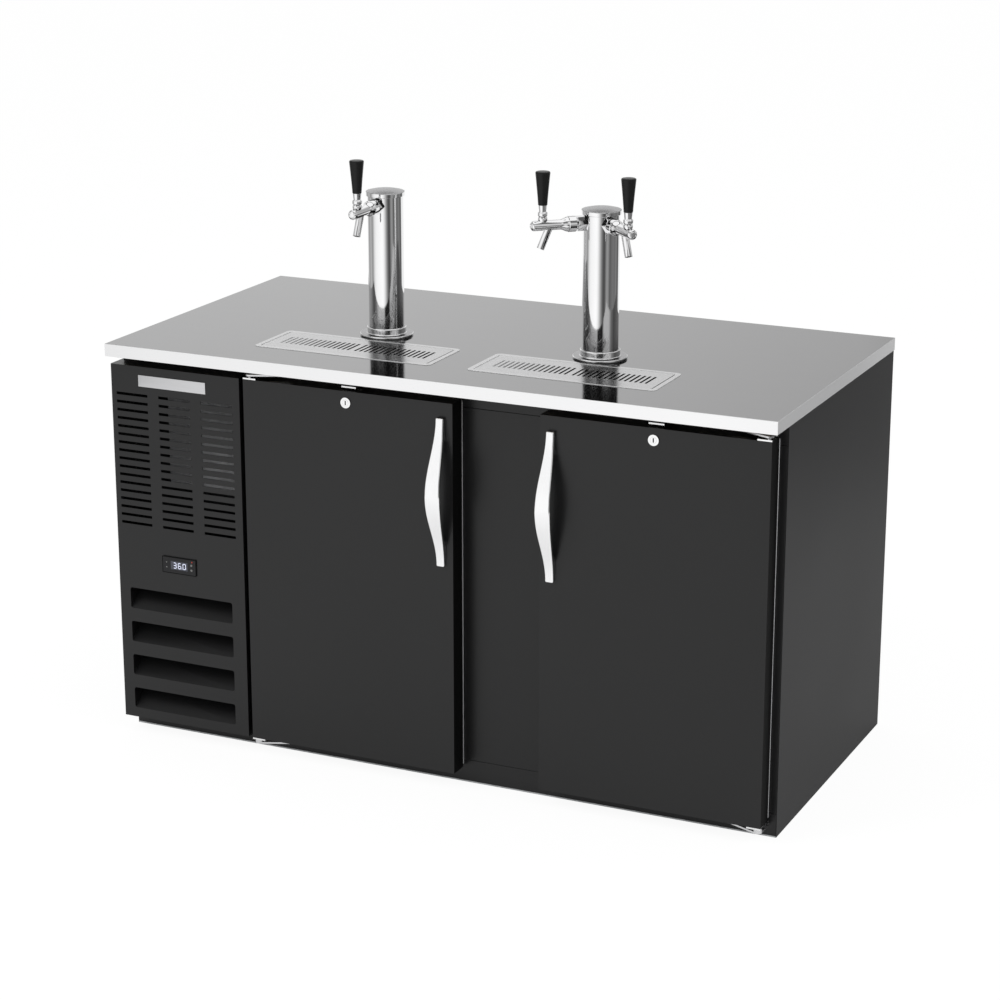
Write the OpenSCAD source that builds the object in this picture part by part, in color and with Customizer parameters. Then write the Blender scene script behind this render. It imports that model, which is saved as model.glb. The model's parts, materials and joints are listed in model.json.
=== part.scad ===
// Direct draw beer dispenser: a two-door keg cooler with draught columns on its countertop.
// Millimetres. Origin on the floor below the middle of the countertop, front towards -Y, +Z up.

/* [Cabinet] */
// Width of the countertop
top_w = 1499; // [1420:1:1700]
// Depth of the countertop
top_d = 756; // [720:1:860]
// Height of the countertop surface above the floor
top_z = 881; // [870:1:940]
// Height of the folded countertop edge
top_edge = 27; // [24:1:32]
// Sheet thickness of the countertop
top_sheet = 2; // [1:0.5:3]
// Overhang of the countertop in front of the cabinet face
front_overhang = 71; // [66:1:90]
// Overhang of the countertop past the side sheets
side_overhang = 0.7; // [0.5:0.1:5]
// Overhang of the countertop past the back sheet
back_overhang = 4; // [3.5:0.5:20]
// Thickness of the outer sheets
skin = 1.2; // [0.8:0.1:2]
// Thickness of the base pan
base_t = 3; // [2:0.5:5]
// Thickness of the insulated walls, sheets included
wall_t = 50.8; // [45:0.1:60]
// Thickness of the inner liner
liner_t = 1; // [0.6:0.1:1.5]

/* [Front frame] */
// Depth of the rails and posts
frame_d = 22; // [18:1:30]
// Height of the sill rail, from the floor to the door opening
sill_z = 50; // [46:1:70]
// Height of the head rail
head_h = 38.4; // [34:0.2:50]
// Depth of the mullion between the doors
mullion_d = 45; // [30:1:60]
// How far the mullion reaches behind each door
mullion_lap = 20; // [16:1:30]
// Width of the post at the far left
left_post_w = 20; // [10:1:30]
// Seam between neighbouring frame bars, insulation slabs or tray sheets
seam = 0.4; // [0.3:0.1:0.6]

/* [Leg sockets] */
// Leg spacing across the cabinet
leg_span_x = 1380; // [1300:1:1420]
// Leg spacing from front to back
leg_span_y = 560; // [500:1:590]
// Diameter of the leg stud holes
leg_hole_d = 13; // [10:0.5:16]
// Side of the square reinforcing pads
leg_pad = 60; // [40:1:62]
// Thickness of the reinforcing pads
leg_pad_t = 8; // [4:1:12]
// Room in the insulation for the end of a leg's stud
stud_room = 30; // [20:1:36]

/* [Doors] */
// Width of each door
door_w = 483; // [450:1:490]
// Height of each door
door_h = 798; // [780:1:800]
// Height of the door's lower edge
door_z = 36; // [35:1:40]
// Thickness of the door without its gasket
door_t = 43; // [40:1:50]
// Distance from the cabinet face to the back of the door
door_standoff = 8; // [7:0.5:9]
// Gap between the grille panel and the left door
panel_gap = 10; // [8:1:14]
// Distance from the right door to the cabinet side
door_side_gap = 16.3; // [12:0.1:24]
// Inset of the raised dam on the door's inner side
dam_inset = 46; // [44:1:70]
// Height of the raised dam
dam_h = 12; // [6:1:16]
// Inset of the gasket from the door's edge
gasket_inset = 5; // [4.5:0.5:7]
// Width of the gasket
gasket_w = 14; // [10:1:20]
// Gap between the gasket and the cabinet face
gasket_gap = 0.7; // [0.6:0.1:1.2]
// Corner radius of the gasket
gasket_r = 8; // [4:1:14]
// Thickness of the gasket's base
gasket_base_t = 6; // [2:0.5:6]
// Inset of the gasket's base from the door's edge
gasket_base_inset = 0.5; // [0.5:0.5:4]

/* [Hinges] */
// Inset of the hinge pin from the door's outer edge
hinge_inset = 10; // [9:0.5:11]
// Distance of the hinge pin behind the door's front face
hinge_back = 12; // [11:0.5:14]
// Diameter of the hinge pins
pin_d = 8; // [6:0.5:9]
// Thickness of the hinge brackets and plates
hinge_t = 3.5; // [2.5:0.5:4]
// Length of the pins inside the door
pin_len = 18; // [10:1:30]
// Length of the bracket along the cabinet face
bracket_w = 90; // [70:1:100]
// Depth of the bracket's far end
bracket_nose = 15; // [8:1:18]
// Length of the plates on the door's edges
hinge_plate_w = 30; // [24:1:60]
// Gap between a bracket and the plate on the door
hinge_play = 2.5; // [1:0.5:3]
// Height of the knuckle on the lower bracket
knuckle_h = 6; // [5:1:8]
// Gap between the knuckle and the plate under the door
knuckle_play = 0.5; // [0.4:0.1:1]
// Diameter of the boss round a pin
boss_d = 18; // [15:0.5:19]
// Room beyond the end of a pin
pin_room = 2; // [1:0.5:4]

/* [Handles] */
// Length of the handle
handle_l = 314; // [260:1:360]
// Width of the handle at its middle
handle_w_mid = 33.5; // [28:0.5:40]
// Width of the handle at its ends
handle_w_end = 18; // [14:0.5:24]
// Reach of the handle's middle from the door
handle_out = 47; // [40:1:55]
// Reach of the handle's ends from the door
handle_out_end = 10; // [8:1:14]
// Thickness of the strap
handle_t = 9; // [7:0.5:11]
// Length of each foot
handle_foot = 48; // [40:1:60]
// Flats along the handle's curves
handle_n = 36; // [24:2:48]
// Distance of the handle's centre line from the door's free edge
handle_inset = 25; // [22:1:40]
// Height of the handle's middle above the floor
handle_z = 647; // [500:1:660]

/* [Locks] */
// Height of the door's upper edge above the lock
lock_up = 24; // [22:1:30]
// Diameter of the lock's face ring
lock_face_d = 22.6; // [18:0.2:26]
// Diameter of the lock's barrel
lock_barrel_d = 18; // [16:0.5:20]
// Length of the barrel behind the door's face
lock_barrel_l = 24; // [22:1:26]
// Diameter of the plug
lock_plug_d = 13; // [11:0.5:14]
// Height of the face ring
lock_face_t = 2.5; // [1.5:0.5:4]
// Reach of the cam from the plug's axis
cam_l = 36; // [32:1:38]
// Width of the cam
cam_w = 10; // [8:1:12]
// Thickness of the cam
cam_t = 3; // [2:0.5:4]
// Width of the strike above the lock
strike_w = 33; // [26:1:40]
// Thickness of the strike
strike_t = 1.6; // [1:0.2:2]
// Height of the strike's lip
strike_h = 16.5; // [10:0.5:17]
// Distance of the strike's lip in front of the cam
strike_ahead = 11; // [6:0.5:14]
// Room round the cam inside the door
cam_room = 1; // [0.8:0.1:1.5]
// Width of the keyway
keyway_w = 2.4; // [1.6:0.2:3]
// Depth of the keyway
keyway_d = 4; // [2:0.5:8]
// Length of the keyway
keyway_l = 9; // [6:0.5:10]

/* [Grille panel] */
// Width of the grille panel
grille_w = 312.8; // [310:0.2:330]
// Sheet thickness of the grille panel
grille_t = 2; // [1.2:0.2:3]
// Length of a slot
slot_l = 76.5; // [60:0.5:80]
// Height of a slot
slot_h = 6; // [4:0.5:8]
// Distance between the slot columns
slot_pitch_x = 103.3; // [95:0.1:104]
// Distance between the slot rows
slot_pitch_z = 17.9; // [16:0.1:18]
// Columns of slots
slot_cols = 3; // [1:1:3]
// Rows of slots
slot_rows = 17; // [4:1:17]
// Height of the top row of slots above the panel's lower edge
slot_top_up = 735; // [720:1:745]
// Width of a scoop
scoop_w = 255; // [200:1:265]
// Height of a scoop's opening
scoop_h = 47; // [40:1:52]
// Depth of a scoop
scoop_d = 40; // [30:1:44]
// Distance between the scoops
scoop_pitch = 77.2; // [70:0.2:78]
// Number of scoops
scoop_n = 4; // [1:1:4]
// Height of the lowest scoop above the panel's lower edge
scoop_up = 22; // [16:1:30]
// Slot left open above a scoop's blade
scoop_gap = 8; // [5:1:12]
// Corner radius of a scoop's opening
scoop_r = 5; // [2:1:8]
// Shift of the slots, scoops and controller from the panel's middle
vent_shift = -3; // [-4:0.5:4]

/* [Controller] */
// Width of the bezel
bezel_w = 84; // [80:1:90]
// Height of the bezel
bezel_h = 37; // [34:1:40]
// How far the bezel stands proud of the panel
bezel_t = 2.5; // [2:0.5:4]
// Corner radius of the bezel
bezel_r = 4; // [1:0.5:6]
// Width of the controller's body
ctrl_w = 71; // [68:1:74]
// Height of the controller's body
ctrl_h = 29; // [27:1:31]
// Depth of the controller's body
ctrl_d = 58; // [45:1:70]
// Height of the controller's centre above the panel's lower edge
ctrl_up = 366.5; // [350:0.5:376]
// Width of the display window
window_w = 42; // [36:1:44]
// Height of the display window
window_h = 19; // [16:1:22]
// Thickness of the display window
window_t = 1.2; // [0.8:0.2:1.6]
// Diameter of the keys
key_d = 5; // [4:0.5:6]
// Distance between a pair of keys
key_pitch = 11; // [9:1:13]
// Distance of the keys from the bezel's middle
key_out = 31; // [29:0.5:33]
// How far a key stands proud of the bezel
key_proud = 1.2; // [1:0.1:2]
// Length of a key
key_l = 4; // [3:0.5:5]
// Travel of a key
key_travel = 0.8; // [0.5:0.1:0.9]

/* [Drip trays] */
// Length of the tray's flange
tray_l = 412; // [380:1:440]
// Width of the tray's flange
tray_w = 154; // [130:1:160]
// Gap between the tray and the column's flange
tray_gap = 2; // [1:0.5:12]
// Width of the flange resting on the countertop
tray_flange = 10; // [8:1:14]
// Sheet thickness of the tray
tray_t = 1.2; // [0.8:0.1:2]
// Corner radius of the flange
tray_r = 12; // [11:1:20]
// Corner radius of the recess that holds the grid
recess_r = 6; // [3:0.5:10]
// Depth of the tray below the countertop surface
tray_depth = 22; // [16:1:23]
// Width of the ledge that carries the grid
tray_ledge = 6; // [4:1:10]
// Depth of the ledge below the countertop surface
tray_step = 2.2; // [2:0.1:4]
// Thickness of the grid
grid_t = 2.6; // [1.5:0.1:2.8]
// Gap between the grid and its ledge
grid_lift = 0.3; // [0.3:0.1:0.5]
// Gap at each end of the grid
grid_gap = 2.6; // [0.5:0.1:3]
// Slots in each half of the grid
grid_n = 15; // [4:1:15]
// Distance between the grid's slots
grid_pitch = 11.3; // [8:0.1:11.5]
// Width of a grid slot
grid_slot_w = 5; // [3:0.5:6]
// Length of a grid slot
grid_slot_l = 58; // [30:1:80]
// Corner radius of a grid slot
grid_slot_r = 1.4; // [0.5:0.1:1.4]
// Bridge between the two halves of the grid
grid_bridge = 18; // [12:1:24]

/* [Columns] */
// Distance between the two columns
col_span = 495; // [470:1:560]
// Distance of the columns from the countertop's front edge
col_back = 328; // [320:1:340]
// Outer diameter of a column
col_d = 76.2; // [70:0.1:82]
// Wall of a column
col_wall = 2; // [1.2:0.1:3]
// Height of a column's top above the countertop
col_h = 316; // [290:1:340]
// Diameter of the base flange
flange_d = 114; // [108:1:115]
// Thickness of the base flange
flange_t = 4; // [3:0.5:6]
// Diameter of the flange's collar
collar_d = 84; // [80:0.5:88]
// Height of the collar above the flange
collar_h = 14; // [8:1:20]
// Bevel of the collar
collar_bevel = 3; // [1:0.5:3.5]
// Thickness of the gasket under the flange
col_gasket_t = 2; // [1:0.5:3]
// Diameter of the column's cap
cap_d = 81; // [79:0.5:86]
// Height of the cap's skirt
cap_skirt = 6; // [4:0.5:7]
// Rise of the cap's dome
cap_dome = 6; // [2:0.5:8]
// Thickness of the cap's top at its rim
cap_t = 2; // [1.5:0.1:3]
// Diameter of the passage below each column
passage_d = 60; // [40:1:64]

/* [Faucets] */
// Depth of the faucet's axis below the column's top
tap_down = 32; // [28:1:60]
// Turn of each of the paired faucets away from straight ahead
tap_turn = 47.5; // [44:0.5:60]
// Distance from the column's axis to the faucet's front tip
tap_reach = 151.5; // [146:0.5:170]
// Diameter of the faucet's body
tap_d = 21; // [20:0.5:24]
// Diameter of the body's flared rear end
tap_flare_d = 31; // [28:0.5:32]
// Length of the flared stretch
tap_flare_l = 16; // [10:1:24]
// Rounding of the body's front end
nose_r = 6; // [3:0.5:8]
// Diameter of the body's tail in the coupling nut
tap_tail_d = 24; // [22:0.5:25]
// Diameter of the coupling nut
coupling_d = 33; // [32.5:0.5:38]
// Length of the coupling nut
coupling_l = 17; // [12:1:20]
// Size of the hexagon nut on the column, across flats
col_nut_af = 29; // [27:0.5:31]
// Distance from the column's axis to the outer face of its nut
col_nut_reach = 54; // [50:0.5:56]
// Thickness of the nut inside the column
inner_nut_t = 8; // [5:1:9]
// Distance from the column's axis to the nut inside it
inner_nut_u = 24; // [23.5:0.1:24.2]
// Bevel of the nuts
nut_bevel = 1; // [0.5:0.1:2]
// Diameter of the shank
shank_d = 22; // [20:0.5:23]
// Distance from the column's axis to the shank's inner end
shank_in = 20; // [18:0.5:22]
// Bore of the shank
shank_bore = 10; // [6:0.5:12]
// Thread left open between the nuts
thread_gap = 2.5; // [1:0.5:4]
// Distance of the lever behind the front tip
lever_back = 25; // [24:0.5:30]
// Bore of the body
tap_bore = 10.2; // [9.6:0.1:10.6]
// Diameter of the valve chamber behind the seat
chamber_d = 14; // [13:0.5:16]
// Depth of the valve seat in front of the coupling nut
seat_in = 3.5; // [3:0.1:5]
// Outer diameter of the spout
spout_d = 16; // [14:0.5:17]
// Bore of the spout
spout_bore = 11; // [8:0.5:12]
// Tilt of the spout from straight down
spout_tilt = 23.5; // [15:0.5:30]
// Length of the spout along its axis
spout_l = 52; // [40:1:60]
// Distance of the spout's root behind the front tip
spout_back = 41; // [38:1:46]

/* [Levers] */
// Height of the lever's pivot above the faucet's axis
pivot_up = 13; // [12.5:0.5:15]
// Radius of the lever's ball
ball_r = 7.4; // [6.5:0.1:7.5]
// Radius of the ball's socket
socket_r = 7.7; // [7.6:0.1:8]
// Outer radius of the bonnet round the socket
bonnet_r = 9.9; // [9.5:0.1:10.2]
// Opening of the bonnet on each side of upright, in degrees
bonnet_open = 58; // [56:0.5:60]
// Diameter of the lever's neck
neck_d = 5; // [4:0.5:5]
// Diameter of the lever's bead
bead_d = 20.4; // [19:0.2:23]
// Height of the bead's lower rim above the pivot
bead_up = 5.5; // [5:0.5:7]
// Height of the bead
bead_h = 10; // [8:1:14]
// Bevel of the bead
bead_bevel = 2; // [1:0.1:2.4]
// Diameter of the ferrule at the handle
ferrule_d = 18; // [16:0.5:20]
// Diameter of the ferrule at the bead
ferrule_d_low = 15; // [13:0.5:17]
// Height of the ferrule
ferrule_h = 13.5; // [10:0.5:18]
// Diameter of the stud in the handle
stud_d = 9.5; // [8:0.5:10]
// Length of the stud
stud_l = 20; // [14:1:30]
// Lower diameter of the tap handle
grip_d_low = 19; // [17:0.5:22]
// Upper diameter of the tap handle
grip_d_top = 30.5; // [26:0.5:36]
// Height of the tap handle
grip_h = 69; // [60:1:120]
// Bevel round the handle's top
grip_bevel = 3; // [1:0.5:5]
// Diameter of the lever's finger
finger_d = 4; // [3:0.2:4]
// Reach of the finger's slot behind the pivot
slot_rear = 8.8; // [8.7:0.05:8.9]
// Reach of the finger's slot in front of the pivot
slot_fore = 3.2; // [2.8:0.1:4]
// Length of the plunger's head
plunger_head = 26; // [22:1:30]
// Reach of the plunger in front of the pivot
plunger_ahead = 12; // [10:0.5:14]
// Room in front of the plunger
plunger_room = 1; // [0.5:0.5:3]
// Reach of the plunger's notch behind the finger's middle
notch_rear = 2.6; // [2.6:0.1:3.2]
// Reach of the notch in front of the finger's middle
notch_fore = 5.2; // [5:0.1:6]
// Room in the notch below the finger
notch_room = 0.5; // [0.4:0.1:0.8]
// Diameter of the valve's seal
seal_d = 12; // [11:0.2:12.2]
// Thickness of the valve's seal
seal_l = 3.5; // [2.5:0.1:3.5]
// Diameter of the plunger's stem
stem_d = 5; // [4:0.5:6]

/* [Machine compartment] */
// Width and height of the condenser coil
coil_side = 260; // [250:1:264]
// Depth of the condenser coil
coil_d = 50; // [40:1:60]
// Height of the coil above the base pan
coil_up = 57; // [40:1:70]
// Gap between the grille panel and the coil
coil_gap = 30; // [26:1:40]
// Fins across the coil
fin_n = 30; // [10:1:40]
// Depth of the gaps between the fins
fin_d = 10; // [4:1:14]
// Return bends at the coil's end
bend_n = 5; // [2:1:6]
// Radius of a return bend
bend_r = 12; // [9:0.5:13]
// Thickness of the coil's end plates, the motor's stand and the compressor's plate
plate_t = 3; // [2:0.5:4]
// Diameter of the condenser fan
fan_d = 224; // [190:1:236]
// Length of the shroud's ring
shroud_l = 30; // [24:1:40]
// Sheet thickness of the shroud
shroud_t = 2; // [1:0.1:3]
// Blades of the condenser fan
fan_n = 5; // [3:1:6]
// Pitch of the fan blades, in degrees
blade_pitch = 22; // [15:1:28]
// Width of a blade as a multiple of the fan's depth
blade_chord = 2.4; // [2:0.1:2.6]
// Thickness of a blade
blade_t = 2; // [1.5:0.1:3]
// Diameter of the condenser fan's hub
hub_d = 50; // [36:1:60]
// Diameter of the condenser fan's motor
motor_d = 84; // [60:1:90]
// Length of the condenser fan's motor
motor_l = 66; // [50:1:80]
// Width of the motor's stand
stand_w = 60; // [40:1:70]
// Diameter of the motor shafts
shaft_d = 8; // [6:0.5:9]
// Diameter of the compressor's shell
comp_d = 190; // [160:1:200]
// Height of the compressor's shell
comp_h = 205; // [180:1:230]
// Rise of the shell's dome
comp_dome = 58; // [40:1:70]
// Rounding of the shell's foot
pot_corner = 20; // [8:1:26]
// Lip of the weld round the shell
seam_lip = 4; // [2:0.5:5]
// Distance of the compressor's axis from the back sheet
comp_back = 262; // [250:1:280]
// Size of the compressor's foot plate
comp_plate = 210; // [200:1:214]
// Height of the rubber feet
comp_foot_h = 20; // [14:1:30]
// Diameter of the rubber feet
comp_foot_d = 34; // [24:1:40]
// Upper diameter of the rubber feet
comp_foot_top = 27; // [18:1:32]
// Width of the control box
ebox_w = 226; // [180:1:230]
// Height of the control box
ebox_h = 232; // [180:1:240]
// Depth of the control box
ebox_d = 90; // [60:1:110]
// Height of the control box above the floor
ebox_up = 552; // [540:1:570]
// Corner radius of the control box
ebox_r = 16; // [8:1:24]
// Diameter of the refrigerant tubes
tube_d = 9; // [6:0.5:10]
// Diameter of the brazed elbows
joint_d = 12; // [11:0.5:13]
// Distance of the tubes from the partition
line_gap = 16; // [15:0.5:17]
// Depth of the lower tubes below the fan's axis
line_drop = 50; // [46:1:52]
// Diameter of the filter drier
drier_d = 24; // [18:1:28]
// Length of the filter drier
drier_l = 110; // [80:1:130]
// Distance of the drier behind the cabinet face
drier_back = 217; // [200:1:230]

/* [Rear cover] */
// Border of the back sheet round the service opening
service_border = 40; // [36:1:60]
// Overlap of the rear cover on the back sheet
cover_lap = 12; // [8:1:18]
// Height of the rear cover's opening
service_h = 520; // [400:1:600]
// Length of a vent slot
vent_l = 90; // [60:1:100]
// Rows of vent slots
vent_rows = 8; // [2:1:10]
// Distance between the vent rows
vent_pitch = 22; // [18:1:24]
// Diameter of the cord's hole
cord_d = 10; // [8:0.5:12]
// Outer diameter of the cord grommet
grommet_d = 24; // [20:1:28]
// Diameter of the grommet's neck
grommet_neck_d = 18; // [15:0.5:19]
// Height of the grommet above the opening's lower edge
grommet_up = 60; // [40:1:100]
// Height of the grommet's lips
grommet_lip = 2; // [1:0.5:2.5]

/* [Evaporator] */
// Depth of the evaporator cover from the wall
evap_w = 120; // [115:1:140]
// Length of the evaporator cover
evap_l = 420; // [400:1:440]
// Height of the evaporator cover
evap_h = 150; // [146:1:165]
// Gap between the evaporator's cover and the back wall of the compartment
evap_back = 20.2; // [10:0.2:60]
// Sheet thickness of the evaporator cover
evap_t = 1.5; // [1:0.1:2]
// Diameter of the evaporator fan
evap_fan_d = 120; // [100:1:124]
// Depth of the evaporator fan's blades
evap_blade_w = 16; // [12:1:20]
// Distance of the fan from the cover's rear end
evap_fan_edge = 12; // [10:1:16]
// Diameter of the evaporator fan's motor
evap_motor_d = 56; // [44:1:64]
// Length of the evaporator coil
evap_coil_l = 220; // [180:1:230]
// Depth of the evaporator coil from the wall, and length of the cover's slots
evap_coil_d = 72; // [60:1:76]
// Room between the coil and the cover
evap_inset = 10; // [6:1:14]
// Slots in the cover's underside
evap_slots = 8; // [3:1:8]
// Diameter of the fan's hub
evap_hub_d = 36; // [30:1:44]

/* [Clearances] */
// Radial clearance of a running pin
run_fit = 0.08; // [0.02:0.01:0.1]
// Clearance of a part that drops into a recess
drop_fit = 0.5; // [0.3:0.1:1]
// Clearance of a part that moves beside another
move_fit = 0.4; // [0.3:0.1:0.6]
// Radial clearance of a fixed part in its hole
seat_fit = 0.1; // [0.05:0.05:0.3]
// Clearance between a fan and its ring
fan_fit = 4; // [3:0.5:8]

/* [Hidden] */
$fn = 64;
// Overshoot of a cut past the face it opens
cut = 1;

black_steel = [0.13, 0.13, 0.14];
stainless = [0.70, 0.70, 0.71];
chrome = [0.82, 0.82, 0.84];
galvanised = [0.60, 0.61, 0.62];
foam = [0.90, 0.85, 0.68];
grey_rubber = [0.48, 0.48, 0.49];
black_rubber = [0.08, 0.08, 0.08];
copper = [0.72, 0.45, 0.30];

// Cabinet planes
cab_x = top_w / 2 - side_overhang;
in_x = cab_x - skin;
cab_front = -top_d / 2 + front_overhang;
cab_back = top_d / 2 - back_overhang;
in_back = cab_back - skin;
under_z = top_z - top_edge;
head_z = under_z - head_h;
frame_back = cab_front + frame_d;
cab_mid_y = (cab_front + cab_back) / 2;

// Doors and grille panel
door_back = cab_front - door_standoff;
door_front = door_back - door_t;
door_top = door_z + door_h;
grille_x = -cab_x + grille_w;
left_door_x = grille_x + panel_gap;
right_door_x = cab_x - door_side_gap;
mull_x0 = left_door_x + door_w - mullion_lap;
mull_x1 = right_door_x - door_w + mullion_lap;
hinge_y = door_front + hinge_back;
lock_x = door_w / 2;
lock_z = door_top - lock_up;
cam_y = door_front + lock_barrel_l;

// Keg compartment
part_x = grille_x;
keg_x0 = part_x + wall_t;
keg_x1 = cab_x - wall_t;
keg_y1 = cab_back - wall_t;

// Countertop fittings
col_x = col_span / 2;
col_y = -top_d / 2 + col_back;
col_top = top_z + col_h;
tube_top = col_top - cap_dome - cap_t;
recess_l = tray_l - 2 * tray_flange;
recess_w = tray_w - 2 * tray_flange;
well_l = recess_l - 2 * tray_ledge;
well_w = recess_w - 2 * tray_ledge;
tray_y = col_y - flange_d / 2 - tray_gap - tray_w / 2;

// Faucets, measured along the axis from the column's axis
tap_z = col_top - tap_down;
coupling_u = col_nut_reach + thread_gap;
body_u = coupling_u + coupling_l;
seat_u = body_u + seat_in;
lever_u = tap_reach - lever_back;
TAPS = [[-col_x, -90], [col_x, -90 - tap_turn], [col_x, -90 + tap_turn]];

// Machine compartment
mach_x = (part_x - in_x) / 2;
vent_x = -cab_x + grille_w / 2 + vent_shift;
ctrl_z = door_z + ctrl_up;
coil_y = cab_front + coil_gap;
shroud_y = coil_y + coil_d;
fan_z = base_t + coil_up + coil_side / 2;
fan_y = shroud_y + shroud_t + shroud_l / 2;
motor_y = fan_y + shroud_l / 2 + fan_fit;
comp_y = cab_back - comp_back;
comp_z = base_t + comp_foot_h + plate_t;
line_x = part_x - line_gap;
drier_y = cab_front + drier_back;

// Evaporator
evap_y = keg_y1 - evap_back - evap_l;
evap_z = head_z - evap_h;
evap_fan_y = evap_y + evap_l - evap_fan_d / 2 - evap_fan_edge;
evap_fan_z = head_z - evap_h / 2;
evap_fan_x = keg_x0 + evap_w - evap_t - fan_fit - evap_blade_w / 2;

// Box between its lowest and highest corners
module span(lo, hi) {
    translate(lo)
        cube(hi - lo);
}

// Rectangle with round corners, centred
module round_rect(w, d, r) {
    square([w - 2 * r, d], center = true);
    square([w, d - 2 * r], center = true);
    for (x = [-1, 1], y = [-1, 1])
        translate([x * (w / 2 - r), y * (d / 2 - r)])
            circle(r);
}

// Outline given in depth and height, drawn out to the right
module profile_x(x, w) {
    translate([x, 0, 0])
        rotate([90, 0, 90])
            linear_extrude(w)
                children();
}

// Outline given in width and height, drawn out to the back
module profile_y(y, d) {
    translate([0, y + d, 0])
        rotate([90, 0, 0])
            linear_extrude(d)
                children();
}

// Round bar towards the back
module bar_y(d, l) {
    rotate([-90, 0, 0])
        cylinder(d = d, h = l);
}

// Round bar towards the right
module bar_x(d, l) {
    rotate([0, 90, 0])
        cylinder(d = d, h = l);
}

module leg_places() {
    for (x = [-1, 1], y = [-1, 1])
        translate([x * leg_span_x / 2, cab_mid_y + y * leg_span_y / 2, 0])
            children();
}

module col_places() {
    for (x = [-col_x, col_x])
        translate([x, col_y, 0])
            children();
}

module tray_place(x) {
    translate([x, tray_y, 0])
        children();
}

module tray_places() {
    for (x = [-col_x, col_x])
        tray_place(x)
            children();
}

// Local frame of a faucet: +X points outwards along its axis
module tap_place(i) {
    translate([TAPS[i][0], col_y, tap_z])
        rotate([0, 0, TAPS[i][1]])
            children();
}

module tap_places() {
    for (i = [0:len(TAPS) - 1])
        tap_place(i)
            children();
}

// Local frame of a door: x runs from its hinge edge to its free edge
module left_door() {
    translate([left_door_x, 0, 0])
        children();
}

module right_door() {
    translate([right_door_x, 0, 0])
        mirror([1, 0, 0])
            children();
}

module both_doors() {
    left_door()
        children();
    right_door()
        children();
}

// Passages for the beer lines below the columns
module passages() {
    col_places()
        translate([0, 0, head_z - cut])
            cylinder(d = passage_d, h = top_z - head_z + 2 * cut);
}

// Square pads round the leg holes
module leg_pads(grow) {
    leg_places()
        translate([0, 0, base_t + (leg_pad_t + grow) / 2])
            cube([leg_pad + 2 * grow, leg_pad + 2 * grow, leg_pad_t + grow], center = true);
}

module base_pan() {
    color(galvanised)
        difference() {
            union() {
                span([-in_x, cab_front, 0], [in_x, in_back, base_t]);
                leg_pads(0);
            }
            leg_places()
                translate([0, 0, -cut])
                    cylinder(d = leg_hole_d, h = base_t + leg_pad_t + 2 * cut);
        }
}

module side_panels() {
    color(black_steel) {
        span([-cab_x, cab_front, 0], [-in_x, cab_back, under_z]);
        span([in_x, cab_front, 0], [cab_x, cab_back, under_z]);
        span([part_x, frame_back, base_t], [part_x + skin, in_back, under_z]);
    }
}

// Opening in the back sheet behind the machine compartment
module service_opening(grow, y, d) {
    span(
        [-in_x + service_border - grow, y, sill_z - grow],
        [part_x - service_border + grow, y + d, sill_z + service_h + grow]
    );
}

module back_panel() {
    color(black_steel)
        difference() {
            span([-in_x, in_back, 0], [in_x, cab_back, under_z]);
            service_opening(0, in_back - cut, skin + 2 * cut);
        }
}

module grommet_place() {
    translate([mach_x, cab_back, sill_z + grommet_up])
        children();
}

module rear_cover() {
    color(black_steel)
        difference() {
            service_opening(cover_lap, cab_back, skin);
            for (k = [0:vent_rows - 1], s = [-1, 1])
                translate([
                    mach_x + s * (vent_l + vent_pitch) / 2,
                    cab_back + skin / 2,
                    sill_z + service_h / 2 + k * vent_pitch
                ])
                    cube([vent_l, skin + 2 * cut, slot_h], center = true);
            grommet_place()
                translate([0, -cut, 0])
                    bar_y(grommet_neck_d, skin + 2 * cut);
        }
}

module cord_grommet() {
    color(black_rubber)
        grommet_place()
            difference() {
                union() {
                    translate([0, -grommet_lip, 0])
                        bar_y(grommet_d, grommet_lip);
                    bar_y(grommet_neck_d - 2 * seat_fit, skin);
                    translate([0, skin, 0])
                        bar_y(grommet_d, grommet_lip);
                }
                translate([0, -grommet_lip - cut, 0])
                    bar_y(cord_d, skin + 2 * grommet_lip + 2 * cut);
            }
}

module post(x0, x1, d) {
    span([x0, cab_front, sill_z + seam], [x1, cab_front + d, head_z - seam]);
}

module front_frame() {
    color(black_steel) {
        span([-in_x, cab_front, base_t], [in_x, frame_back, sill_z]);
        span([-in_x, cab_front, head_z], [in_x, frame_back, under_z]);
        post(-in_x, -in_x + left_post_w, frame_d);
        post(part_x, keg_x0, frame_d);
        post(mull_x0, mull_x1, mullion_d);
        post(keg_x1, in_x, frame_d);
    }
}

module wall_insulation() {
    foam_x = part_x + skin;
    low = sill_z - liner_t;
    high = head_z + liner_t;
    color(foam)
        difference() {
            union() {
                span([foam_x, frame_back, base_t], [in_x, in_back, low]);
                span([foam_x, frame_back, high], [in_x, in_back, under_z]);
                span([foam_x, frame_back, low + seam], [keg_x0 - liner_t, in_back, high - seam]);
                span([keg_x1 + liner_t, frame_back, low + seam], [in_x, in_back, high - seam]);
                span(
                    [keg_x0 - liner_t + seam, keg_y1 + liner_t, low + seam],
                    [keg_x1 + liner_t - seam, in_back, high - seam]
                );
            }
            leg_pads(drop_fit);
            leg_places()
                cylinder(d = leg_pad / 2, h = base_t + stud_room);
            passages();
        }
}

module inner_liner() {
    color(galvanised)
        difference() {
            span(
                [keg_x0 - liner_t, frame_back, sill_z - liner_t],
                [keg_x1 + liner_t, keg_y1 + liner_t, head_z + liner_t]
            );
            span([keg_x0, frame_back - cut, sill_z], [keg_x1, keg_y1, head_z]);
            passages();
        }
}

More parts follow.
